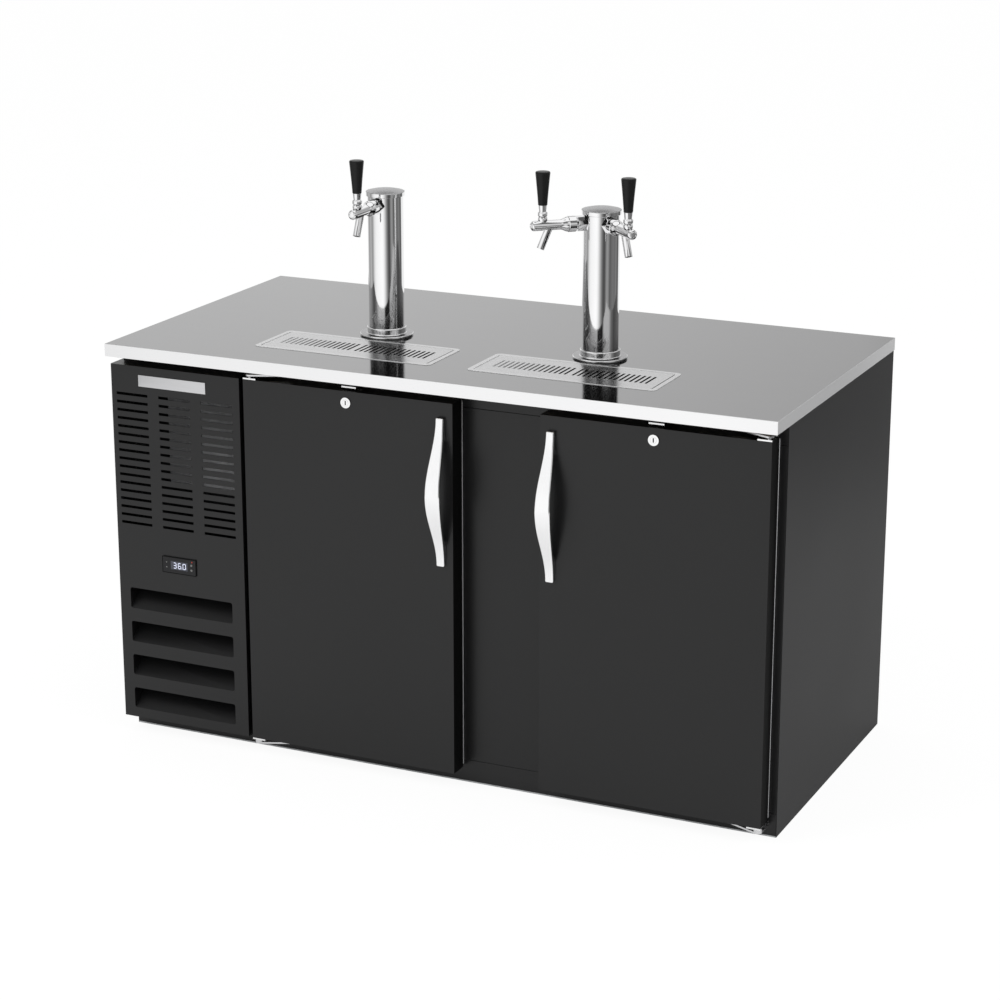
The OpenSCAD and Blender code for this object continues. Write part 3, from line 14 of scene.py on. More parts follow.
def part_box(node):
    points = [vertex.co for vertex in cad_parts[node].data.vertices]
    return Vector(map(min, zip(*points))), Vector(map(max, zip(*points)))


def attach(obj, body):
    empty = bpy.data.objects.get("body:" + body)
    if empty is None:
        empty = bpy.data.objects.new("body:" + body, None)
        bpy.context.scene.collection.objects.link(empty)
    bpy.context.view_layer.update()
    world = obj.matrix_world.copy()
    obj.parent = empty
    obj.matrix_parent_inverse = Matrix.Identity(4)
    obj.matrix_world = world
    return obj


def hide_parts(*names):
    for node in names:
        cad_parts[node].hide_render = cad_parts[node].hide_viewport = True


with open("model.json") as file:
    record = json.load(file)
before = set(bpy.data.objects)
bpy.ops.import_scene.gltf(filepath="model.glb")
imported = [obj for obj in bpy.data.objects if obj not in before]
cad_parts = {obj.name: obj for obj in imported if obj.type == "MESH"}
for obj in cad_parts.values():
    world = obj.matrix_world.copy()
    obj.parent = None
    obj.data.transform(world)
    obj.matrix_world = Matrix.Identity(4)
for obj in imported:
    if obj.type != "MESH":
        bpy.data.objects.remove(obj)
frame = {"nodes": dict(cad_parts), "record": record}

LOG = logging.getLogger("beer_dispenser")
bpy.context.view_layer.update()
FULL_TURN = 2 * math.pi
RIGHT_ANGLE = math.pi / 2
QUARTER = [RIGHT_ANGLE * k / 6 for k in range(7)]
WHITE = (1.0, 1.0, 1.0, 1.0)

Pair = tuple[float, float]
Triple = tuple[float, float, float]
Outline = Sequence[Pair]
Bands = tuple[Pair, ...]
Value = Union["Wire", float, Sequence[float]]
Shape = bmesh.types.BMesh
Thing = bpy.types.Object
Face = bpy.types.MeshPolygon
FaceTest = Callable[[Face], bool]


class Axis(Enum):
    """Axis of the shared frame, with its number."""

    X = 0
    Y = 1
    Z = 2


class Side(Enum):
    """The two doors, named as the viewer sees them."""

    LEFT = "left"
    RIGHT = "right"


class Tap(Enum):
    """The three faucets, each with its column's side and its turn from straight ahead, in degrees."""

    SINGLE = ("single", -1.0, 0.0)
    LEFT = ("left", 1.0, -47.5)
    RIGHT = ("right", 1.0, 47.5)


@dataclass(eq=False)
class Wire:
    """A node's output socket in its graph, which takes part in arithmetic."""

    graph: "Graph"
    socket: bpy.types.NodeSocket

    def _math(self, operation: str, a: Value, b: Value) -> "Wire":
        """Add a Math node that works on two values."""
        return self.graph.add("Math", {"operation": operation}, {0: a, 1: b})

    def __add__(self, other: Value) -> "Wire":
        """Sum."""
        return self._math("ADD", self, other)

    __radd__ = __add__

    def __sub__(self, other: Value) -> "Wire":
        """Difference."""
        return self._math("SUBTRACT", self, other)

    def __rsub__(self, other: Value) -> "Wire":
        """Difference from a number."""
        return self._math("SUBTRACT", other, self)

    def __mul__(self, other: Value) -> "Wire":
        """Product."""
        return self._math("MULTIPLY", self, other)

    __rmul__ = __mul__

    def __lt__(self, other: Value) -> "Wire":
        """One where this is smaller, else zero."""
        return self._math("LESS_THAN", self, other)

    def __gt__(self, other: Value) -> "Wire":
        """One where this is larger, else zero."""
        return self._math("GREATER_THAN", self, other)


class Graph:
    """The node graph of one material or of the world, with the numbers of the Mix node's colour sockets."""

    MIX_COLORS = (6, 7)
    MIX_RESULT = 2

    def __init__(self, owner: bpy.types.Material | bpy.types.World) -> None:
        """Start with an empty node tree.

        Args:
            owner: The material or world.
        """
        owner.use_nodes = True
        self.tree = owner.node_tree
        self.tree.nodes.clear()

    def add(
        self, kind: str, settings: dict | None = None, inputs: dict | None = None, out: int | str = 0
    ) -> Wire:
        """Add any node.

        Args:
            kind: The node's type without its ShaderNode prefix.
            settings: The node's properties; "stops" fills a ramp.
            inputs: Values or links by socket name or number.
            out: The output to return.

        Returns:
            The chosen output.
        """
        node = self.tree.nodes.new("ShaderNode" + kind)
        for key, value in (settings or {}).items():
            if key == "stops":
                self._fill(node.color_ramp.elements, value)
            else:
                setattr(node, key, value)
        for key, value in (inputs or {}).items():
            if isinstance(value, Wire):
                self.tree.links.new(value.socket, node.inputs[key])
            else:
                node.inputs[key].default_value = value
        return Wire(self, node.outputs[out] if node.outputs else None)

    @staticmethod
    def _fill(elements: bpy.types.ColorRampElements, stops: Sequence[Pair]) -> None:
        """Give a ramp its stops.

        Args:
            elements: The ramp's elements.
            stops: Place and tone of each stop.
        """
        while len(elements) < len(stops):
            elements.new(1.0)
        for element, (place, tone) in zip(elements, stops):
            element.position = place
            element.color = (tone, tone, tone, 1.0)

    def place(self, scale: Triple = (1.0, 1.0, 1.0)) -> Wire:
        """Object coordinates, stretched by a factor along each axis."""
        point = self.add("TexCoord", out="Object")
        return self.add("Mapping", {}, {"Vector": point, "Scale": scale})

    def along(self, axis: Axis) -> Wire:
        """Object coordinate along one axis."""
        return self.add("SeparateXYZ", {}, {0: self.place()}, out=axis.value)

    def blend(self, share: Value, a: Triple | Wire, b: Triple | Wire) -> Wire:
        """Mix two colours.

        Args:
            share: Share of the second colour.
            a: First colour.
            b: Second colour.

        Returns:
            The mixed colour.
        """
        colors = [c if isinstance(c, Wire) else (*c, 1.0) for c in (a, b)]
        inputs = {0: share} | dict(zip(self.MIX_COLORS, colors))
        return self.add("Mix", {"data_type": "RGBA"}, inputs, self.MIX_RESULT)


def shade(color: Triple, factor: float) -> Triple:
    """Darken or lighten a colour by a factor."""
    return tuple(min(1.0, c * factor) for c in color)


@dataclass(frozen=True)
class Layer:
    """One layer of a finish: noise or crystal cells that change its colour, gloss or relief.

    Attributes:
        size: Size of its features in metres.
        detail: Octaves of the noise.
        stretch: Factor along each axis.
        cells: Whether it is made of crystal cells.
        tints: Darkest and lightest shade that it gives the colour, as factors.
        swing: How much it changes the roughness.
        depth: Height of its relief in metres.
        strength: Strength of its relief.
    """

    size: float
    detail: float = 2.0
    stretch: Triple = (1.0, 1.0, 1.0)
    cells: bool = False
    tints: Pair | None = None
    swing: float = 0.0
    depth: float = 0.0
    strength: float = 1.0

    def pattern(self, g: Graph) -> Wire:
        """Add the layer's nodes.

        Args:
            g: The material's graph.

        Returns:
            A value round one half.
        """
        inputs = {"Vector": g.place(self.stretch), "Scale": 1.0 / self.size}
        if self.cells:
            return g.add("RGBToBW", {}, {0: g.add("TexVoronoi", {}, inputs, "Color")})
        return g.add("TexNoise", {}, inputs | {"Detail": self.detail})


Layers = tuple[Layer, ...]


@dataclass(frozen=True)
class Finish:
    """A surface finish.

    Attributes:
        name: Name of the material.
        color: Main colour, linear.
        roughness: Mean roughness.
        shine: Strength of the mirror-like part.
        METAL: How metallic this kind of finish is.
    """

    name: str
    color: Triple
    roughness: float
    shine: float = 0.5

    METAL = 0.0

    def layers(self) -> Layers:
        """Layers of the finish."""
        return ()

    def sockets(self, g: Graph) -> dict:
        """What goes into the shader.

        Args:
            g: The material's graph.

        Returns:
            Values and links by socket name.
        """
        made = {"Base Color": (*self.color, 1.0), "Metallic": self.METAL, "Roughness": self.roughness}
        for layer in self.layers():
            pattern = layer.pattern(g)
            if layer.tints:
                made["Base Color"] = g.blend(pattern, *(shade(self.color, tint) for tint in layer.tints))
            if layer.swing:
                made["Roughness"] = made["Roughness"] + (pattern - 0.5) * layer.swing
            if layer.depth:
                relief = {"Height": pattern, "Distance": layer.depth, "Strength": layer.strength}
                made["Normal"] = g.add("Bump", {}, relief)
        return made

    def material(self) -> bpy.types.Material:
        """Make the material, once.

        Returns:
            The material.
        """
        found = bpy.data.materials.get(self.name)
        if found:
            return found
        made = bpy.data.materials.new(self.name)
        g = Graph(made)
        surface = g.add("BsdfPrincipled", {}, {"Specular IOR Level": self.shine} | self.sockets(g))
        g.add("OutputMaterial", {}, {"Surface": surface})
        return made


@dataclass(frozen=True)
class PowderCoat(Finish):
    """Satin paint with a fine orange peel of a given size."""

    peel: float = 0.0014

    def layers(self) -> Layers:
        """Cloudy gloss and a fine relief."""
        return (
            Layer(0.35, detail=3.0, tints=(0.85, 1.15), swing=0.06),
            Layer(self.peel, swing=0.08, depth=0.00006),
        )


@dataclass(frozen=True)
class BrushedSteel(Finish):
    """Stainless sheet brushed along its grain, where a squeezed pattern draws streaks."""

    grain: Axis = Axis.X
    line: float = 0.0007

    METAL = 1.0
    STREAK = 0.006

    def layers(self) -> Layers:
        """Brushed lines and cloudy gloss."""
        stretch = tuple(self.STREAK if axis is self.grain else 1.0 for axis in Axis)
        return (
            Layer(self.line, 3.0, stretch, tints=(0.9, 1.1), swing=0.14, depth=0.00002, strength=0.6),
            Layer(0.25, swing=0.05),
        )


@dataclass(frozen=True)
class WorktopSteel(BrushedSteel):
    """Brushed worktop whose folded edges, past front along Y and flank along X, carry painted light: a bright
    painted highlight on the front fold and darker, less metallic painted shade on the side folds.
    """

    front: float = -0.3772
    flank: float = 0.7487
    # Painted highlight colour of the front fold, then the painted shade colour and loss of metal of the side
    # folds.
    edge: Triple = (0.88, 0.88, 0.885)
    side_shade_color: Triple = (0.44, 0.44, 0.445)
    side_shade_dimming: float = 0.9

    def sockets(self, g: Graph) -> dict:
        """Brushed steel with a painted highlight on the front fold and painted shade on the side folds."""
        made = super().sockets(g)
        on_front = g.along(Axis.Y) < self.front
        on_side = g.add("Math", {"operation": "ABSOLUTE"}, {0: g.along(Axis.X)}) > self.flank
        # Painted shade on the side folds, painted highlight on the front fold.
        sided = g.blend(on_side, made["Base Color"], self.side_shade_color)
        made["Base Color"] = g.blend(on_front, sided, self.edge)
        made["Metallic"] = 1.0 - on_side * self.side_shade_dimming
        return made


@dataclass(frozen=True)
class PolishedMetal(Finish):
    """Chrome or polished steel with faint waves of a given length and wiping marks."""

    wave: float = 0.03

    METAL = 1.0

    def layers(self) -> Layers:
        """Wiping marks and waves."""
        return (
            Layer(0.012, 4.0, stretch=(1.0, 1.0, 0.25), tints=(0.96, 1.03), swing=0.05),
            Layer(self.wave, detail=1.0, depth=0.00003, strength=0.5),
        )


@dataclass(frozen=True)
class PaintedLightSteel(Finish):
    """Pale steel painted lighter at the left end of each tray and darker towards the right: a painted
    highlight that turns into painted shade.

    Attributes:
        shade_at_right: Share of the colour that is left at the right end, as painted shade.
        left: Left end of the left tray, along X.
        length: Length over which the stain grows.
        pitch: Distance between the trays.
    """

    shade_at_right: float = 1.0
    gleam: float = 0.35
    left: float = -0.4375
    length: float = 0.17
    pitch: float = 0.495

    SPECK = Layer(0.004, detail=3.0, swing=0.15)
    SPECKLED = 0.2

    def layers(self) -> Layers:
        """Specks."""
        return (self.SPECK,)

    def sockets(self, g: Graph) -> dict:
        """Pale steel with painted shade that grows along X."""
        made = super().sockets(g)
        # Painted light: bright at each tray's left end, with painted shade growing towards its right end.
        start = g.along(Axis.X) - self.left
        along = g.add("Math", {"operation": "FLOORED_MODULO"}, {0: start, 1: self.pitch})
        share = along * (1.0 / self.length) + (self.SPECK.pattern(g) - 0.5) * self.SPECKLED
        made["Base Color"] = g.blend(share, self.color, shade(self.color, self.shade_at_right))
        made["Metallic"] = self.gleam
        return made


@dataclass(frozen=True)
class SpangledZinc(Finish):
    """Galvanised sheet with its crystal spangle."""

    METAL = 1.0

    def layers(self) -> Layers:
        """Crystals of slightly different grey and fine dents."""
        return (
            Layer(0.014, cells=True, tints=(0.82, 1.12), swing=0.2),
            Layer(0.004, depth=0.00004, strength=0.4),
        )


@dataclass(frozen=True)
class PaintedLightZinc(SpangledZinc):
    """Galvanised sheet with painted light: a darkened painted shade at its left and upper parts that
    brightens towards the lower right into a painted highlight.

    Attributes:
        left: Place along X from which the painted shade brightens, and the width over which it does.
        upper: Height from which it brightens downwards, and the depth over which it does.
        lit_gain: How much brighter the painted highlight makes the sheet.
    """

    left: Pair = (-0.66, 0.12)
    upper: Pair = (0.8, 0.2)
    lit_gain: float = 2.6

    def sockets(self, g: Graph) -> dict:
        """Spangle that brightens, as painted light, towards the lower right."""
        made = super().sockets(g)
        (left, width), (upper, depth) = self.left, self.upper
        across = g.add("Clamp", {}, {0: (g.along(Axis.X) - left) * (1.0 / width)})
        down = g.add("Clamp", {}, {0: (g.along(Axis.Z) - upper) * (-1.0 / depth)})
        # Painted highlight towards the lower right, painted shade elsewhere.
        made["Base Color"] = g.blend(across * down, made["Base Color"], shade(self.color, self.lit_gain))
        return made


@dataclass(frozen=True)
class LippedSteel(Finish):
    """Bright lip of a strike that is coated black above the lip's upper edge."""

    lip: float = 0.0

    METAL = 1.0
    COATED = 0.01

    def sockets(self, g: Graph) -> dict:
        """Bright below the lip's edge and black above it."""
        above = g.along(Axis.Z) > self.lip
        return super().sockets(g) | {"Base Color": g.blend(above, self.color, shade(self.color, self.COATED))}


@dataclass(frozen=True)
class MouldedPlastic(Finish):
    """Plastic or rubber with a moulded grain of a given size and depth."""

    grain: float = 0.0009
    depth: float = 0.00005

    def layers(self) -> Layers:
        """Fine grain and a cloudy colour."""
        return Layer(self.grain, swing=0.12, depth=self.depth), Layer(0.05, tints=(0.9, 1.1))


@dataclass(frozen=True)
class FoamedCore(Finish):
    """Cut foam or board with visible cells or fibres."""

    def layers(self) -> Layers:
        """Mottled colour and a rough relief."""
        return (Layer(0.003, detail=4.0, tints=(0.7, 1.2), swing=0.1, depth=0.0004),)


@dataclass(frozen=True)
class Glow(Finish):
    """A lit lamp or digit. Its unlit surface and its dim patches have a share of its colour."""

    strength: float = 1.0

    UNLIT = 0.5
    DIM = 0.92
    BLOTCH = Layer(0.002)

    def sockets(self, g: Graph) -> dict:
        """Light of one colour with a soft unevenness."""
        return {
            "Base Color": (*shade(self.color, self.UNLIT), 1.0),
            "Roughness": self.roughness,
            "Emission Color": g.blend(self.BLOTCH.pattern(g), shade(self.color, self.DIM), self.color),
            "Emission Strength": self.strength,
        }


FINISHES: dict[str, Finish] = {
    "black_steel": PowderCoat("satin_black_coat", (0.007, 0.007, 0.0073), 0.3, 0.38),
    "stainless": WorktopSteel("brushed_worktop_steel", (0.296, 0.296, 0.298), 0.09),
    "galvanised": SpangledZinc("galvanised_sheet", (0.5, 0.51, 0.52), 0.38),
    "core_board": FoamedCore("raw_core_board", (0.24, 0.18, 0.12), 0.8),
    "foam": FoamedCore("wall_foam", (0.78, 0.68, 0.42), 0.85),
    "door_liner": MouldedPlastic("door_inner_panel", (0.55, 0.56, 0.57), 0.42, 0.4, grain=0.0016),
    "gasket": MouldedPlastic("grey_gasket_rubber", (0.42, 0.42, 0.43), 0.55, 0.3),
    "black_rubber": MouldedPlastic("black_rubber", (0.015, 0.015, 0.015), 0.65, 0.3),
    "chrome": PolishedMetal("polished_chrome", (0.92, 0.92, 0.925), 0.06),
    "zinc": BrushedSteel("zinc_plated_steel", (0.7, 0.7, 0.71), 0.25, line=0.0005),
    "handle_chrome": PolishedMetal("polished_handle", (0.94, 0.94, 0.945), 0.16, wave=0.06),
    "plunger_steel": BrushedSteel("turned_steel", (0.6, 0.6, 0.6), 0.25, grain=Axis.Y, line=0.0004),
    "black_gloss": MouldedPlastic("tap_handle_black", (0.009, 0.009, 0.009), 0.33, 0.2, 0.0007, 0.00002),
    "controller": MouldedPlastic("controller_plastic", (0.008, 0.008, 0.009), 0.42, 0.3, grain=0.0006),
    "display": MouldedPlastic("display_window", (0.055, 0.058, 0.075), 0.2, 0.4, 0.004, 0.00001),
    "compressor_paint": PowderCoat("compressor_enamel", (0.01, 0.01, 0.01), 0.3, peel=0.003),
    "fins": BrushedSteel("fin_aluminium", (0.5, 0.51, 0.53), 0.35, grain=Axis.Z, line=0.0012),
    "motor_paint": PowderCoat("motor_enamel", (0.08, 0.08, 0.09), 0.4, peel=0.002),
    "fan_plastic": MouldedPlastic("fan_plastic", (0.03, 0.03, 0.03), 0.5, 0.4),
    "copper": PolishedMetal("drawn_copper", (0.72, 0.34, 0.2), 0.25, wave=0.02),
    "white_plastic": MouldedPlastic("white_plastic", (0.72, 0.73, 0.73), 0.4, 0.4, grain=0.0012),
}
# Darker, duller coat for the side, back and rear sheets: painted shade that tones down the stronger light on
# the flanks.
SHADED_SIDE_COAT = PowderCoat("shaded_side_coat", (0.0155, 0.0155, 0.016), 0.42, 0.08)
TRAY_STEEL = BrushedSteel("brushed_tray_steel", (0.64, 0.64, 0.644), 0.22)
GRID_STEEL = BrushedSteel("brushed_grid_steel", (0.59, 0.59, 0.594), 0.24)
# Pale, non-metallic rim colour: a painted highlight on the trays' rim walls, slightly darker towards the
# right.
RIM_HIGHLIGHT = PaintedLightSteel("rim_painted_highlight", (0.9, 0.9, 0.905), 0.3, shade_at_right=0.9, gleam=0.0)
# Grid slot walls and tray wells: painted light at the left that turns into dark painted shade towards the
# right.
GRID_PAINTED_LIGHT = PaintedLightSteel("grid_edge_painted_light", (0.8, 0.8, 0.805), 0.4, shade_at_right=0.012, gleam=0.2)
WELL_PAINTED_LIGHT = PaintedLightSteel("well_painted_light", (0.7, 0.7, 0.705), 0.4, 0.2, shade_at_right=0.05, gleam=0.2)
CAP_STEEL = BrushedSteel("satin_cap_steel", (0.4, 0.4, 0.405), 0.3, line=0.0004)
# Near-black for the keyway's faces: painted shade in the recess.
KEYWAY_SHADE = PowderCoat("keyway_painted_shade", (0.004, 0.004, 0.004), 0.6, 0.0)
# Zinc darker than the open sheet, a painted shade, brightened towards the lower right as a painted highlight
# of light through the slots.
BOX_ZINC = PaintedLightZinc("box_zinc_painted_light", (0.2, 0.2, 0.205), 0.5)
# Matt black that paints shade: on the door skins' end faces and round the controller's bezel.
SHADE_BLACK = MouldedPlastic("painted_shade_black", (0.004, 0.004, 0.004), 0.6, 0.08, grain=0.0012)
KEY_GREY = MouldedPlastic("key_grey", (0.16, 0.16, 0.155), 0.4, 0.4, grain=0.0006)
DIGIT_LIGHT = Glow("digit_light", (0.74, 0.78, 0.95), 0.4)
RED_LIGHT = Glow("red_light", (0.4, 0.03, 0.015), 0.4, strength=0.4)
FOOT_RUBBER = MouldedPlastic("grey_foot_rubber", (0.2, 0.2, 0.2), 0.55, 0.3)
BADGE_STEEL = BrushedSteel("badge_aluminium", (0.62, 0.62, 0.63), 0.35, line=0.0004)
NODE_FINISHES = {"key_up": KEY_GREY, "key_down": KEY_GREY, "column_gaskets": FOOT_RUBBER}


def corner(radius: float, top: float, across: float, up: float) -> Outline:
    """Round the corner between a wall of some radius and its top, by a width across and a height up."""
    return [(radius - across * (1 - math.cos(a)), top - up + up * math.sin(a)) for a in QUARTER]


def lathe(outline: Outline, matrix: Matrix, steps: int) -> Shape:
    """Turn a half outline about +Z and put it in its place.

    Args:
        outline: Points as radius and height, in metres.
        matrix: Where the turned shape goes; its axis is local +Z.
        steps: Steps round the axis.

    Returns:
        The turned shape.
    """
    bm = bmesh.new()
    verts = [bm.verts.new((r, 0.0, h)) for r, h in outline]
    edges = [bm.edges.new(pair) for pair in zip(verts, verts[1:])]
    bmesh.ops.spin(
        bm, geom=verts + edges, axis=(0, 0, 1), cent=(0, 0, 0), steps=steps, angle=FULL_TURN, use_merge=True
    )
    bmesh.ops.remove_doubles(bm, verts=bm.verts, dist=1e-6)
    bmesh.ops.recalc_face_normals(bm, faces=bm.faces)
    bmesh.ops.transform(bm, matrix=matrix, verts=bm.verts)
    return bm


def slab(size: Triple, centre: Triple, rounding: float, segments: int = 1) -> Shape:
    """Make a box with rounded edges.

    Args:
        size: Its three sizes.
        centre: Its centre.
        rounding: Width of the rounding.
        segments: Steps of the rounding.

    Returns:
        The closed shape.
    """
    bm = bmesh.new()
    bmesh.ops.create_cube(bm, size=1.0)
    bmesh.ops.scale(bm, vec=size, verts=bm.verts)
    bmesh.ops.bevel(
        bm, geom=bm.edges[:], offset=rounding, affect="EDGES", segments=segments, profile=0.5, material=-1
    )
    bmesh.ops.translate(bm, vec=centre, verts=bm.verts)
    return bm


def mesh_of(name: str, bm: Shape) -> bpy.types.Mesh:
    """Turn a shape into a mesh.

    Args:
        name: Name of the mesh.
        bm: The shape, which is used up.

    Returns:
        The mesh.
    """
    mesh = bpy.data.meshes.new(name)
    bm.to_mesh(mesh)
    bm.free()
    return mesh


def joined(parts: Iterable[Shape]) -> Shape:
    """Put several shapes into one.

    Args:
        parts: The shapes, which are used up.

    Returns:
        One shape.
    """
    whole = bmesh.new()
    for part in parts:
        spare = mesh_of("spare", part)
        whole.from_mesh(spare)
        bpy.data.meshes.remove(spare)
    return whole


def linked(name: str, data: bpy.types.ID) -> Thing:
    """Put a mesh, a lamp or a camera into the scene, at the origin."""
    made = bpy.data.objects.new(name, data)
    bpy.context.scene.collection.objects.link(made)
    return made


class Workshop:
    """Makes pieces, gives them a finish and lets them ride on their CAD body."""

    SHARP_TURN = math.radians(35.0)
    WELD_GAP = 2e-6
    FLAT_TURN = math.radians(0.3)

    def __init__(self) -> None:
        """Read which node belongs to which body and slot."""
        record = frame["record"]
        self.slots = {row["node"]: row["material_slot"] for row in record["subparts"]}
        bodies = record["behaviour"]["bodies"]
        self.bodies = {node: body for body, nodes in bodies.items() for node in nodes}

    def dress_nodes(self) -> None:
        """Give every CAD node the finish of its slot."""
        for name, node in frame["nodes"].items():
            node.data.materials.clear()
            node.data.materials.append(NODE_FINISHES.get(name, FINISHES[self.slots[name]]).material())
            LOG.info("dressed %s as %s", name, self.slots[name])

    def piece(
        self, name: str, bm: Shape, slot: str, finish: Finish | None = None, body: str = "cabinet"
    ) -> Thing:
        """Turn a shape into a piece.

        Args:
            name: Name of the piece.
            bm: Its shape, which is used up.
            slot: Its material slot in the record.
            finish: Its finish where that isn't the slot's own.
            body: The CAD body that carries it.

        Returns:
            The piece.
        """
        mesh = mesh_of(name, bm)
        mesh.polygons.foreach_set("use_smooth", [True] * len(mesh.polygons))
        mesh.set_sharp_from_angle(angle=self.SHARP_TURN)
        mesh.materials.append((finish or FINISHES[slot]).material())
        piece = linked(name, mesh)
        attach(piece, body)
        LOG.info("made %s on %s with %d faces", name, body, len(mesh.polygons))
        return piece

    def softened(
        self, node: str, rounding: float, segments: int = 2, limit: float = 30.0, finish: Finish | None = None
    ) -> Thing:
        """Stand a copy with rounded edges in for a CAD node.

        Args:
            node: The node's name.
            rounding: Width of the rounded edges.
            segments: Steps of the rounding.
            limit: Edges that turn by more degrees than this are rounded.
            finish: Its finish where that isn't the slot's own.

        Returns:
            The piece that stands for the node.
        """
        bm = bmesh.new()
        bm.from_mesh(frame["nodes"][node].data)
        bmesh.ops.remove_doubles(bm, verts=bm.verts, dist=self.WELD_GAP)
        bmesh.ops.dissolve_limit(bm, angle_limit=self.FLAT_TURN, verts=bm.verts, edges=bm.edges)
        piece = self.piece(node + "_soft", bm, self.slots[node], finish, self.bodies[node])
        rounder = piece.modifiers.new("rounded_edges", "BEVEL")
        rounder.width = rounding
        rounder.segments = segments
        rounder.limit_method = "ANGLE"
        rounder.angle_limit = math.radians(limit)
        rounder.harden_normals = True
        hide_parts(node)
        return piece

    @staticmethod
    def second_finish(piece: Thing, finish: Finish, chosen: FaceTest) -> None:
        """Give some faces of a piece another finish.

        Args:
            piece: The piece.
            finish: The other finish.
            chosen: Says which faces take it.
        """
        piece.data.materials.append(finish.material())
        index = len(piece.data.materials) - 1
        for face in piece.data.polygons:
            if chosen(face):
                face.material_index = index


@dataclass
class Assembly:
    """A group of pieces that a workshop makes."""

    shop: Workshop


@dataclass
class Carcass(Assembly):
    """Sheets, frame bars and worktop of the cabinet.

    Attributes:
        sheet_edge: Rounding of the painted frame bars; the thinner sheets have half of it.
        fold: Rounding of the worktop's folds.
    """

    sheet_edge: float = 0.0008
    fold: float = 0.0014

    def build(self) -> None:
        """Round the edges of the visible sheets."""
        # The side, back and rear sheets take the darker side coat, a painted shade.
        for node in ("side_panels", "back_panel", "rear_cover"):
            self.shop.softened(node, self.sheet_edge / 2, finish=SHADED_SIDE_COAT)
        self.shop.softened("front_frame", self.sheet_edge)
        self.shop.softened("countertop", self.fold, segments=3)


@dataclass
class DripTrays(Assembly):
    """Recessed trays and their loose grids.

    Attributes:
        ledge: Height of the ledges that the grids lie on.
        steep: Faces whose normal has a smaller part along Z are walls.
    """

    ledge: float = 0.8774
    steep: float = 0.7

    def is_wall(self, face: Face) -> bool:
        """Tell whether a face stands steeply."""
        return abs(face.normal.z) < self.steep

    def build(self) -> None:
        """Round the trays' and grids' edges, give the rims a painted highlight, and give the wells below
        their ledges painted light that turns to painted shade towards the right.
        """
        trays = self.shop.softened("drip_trays", rounding=0.0002, finish=TRAY_STEEL)
        # Rim walls take a painted highlight.
        self.shop.second_finish(trays, RIM_HIGHLIGHT, self.is_wall)
        # Wells below the ledges take painted light and painted shade.
        self.shop.second_finish(trays, WELL_PAINTED_LIGHT, lambda face: face.center.z < self.ledge)
        for node in ("left_drip_grid", "right_drip_grid"):
            grid = self.shop.softened(node, rounding=0.00012, finish=GRID_STEEL)
            # Slot walls of the grids take painted light and painted shade.
            self.shop.second_finish(grid, GRID_PAINTED_LIGHT, self.is_wall)


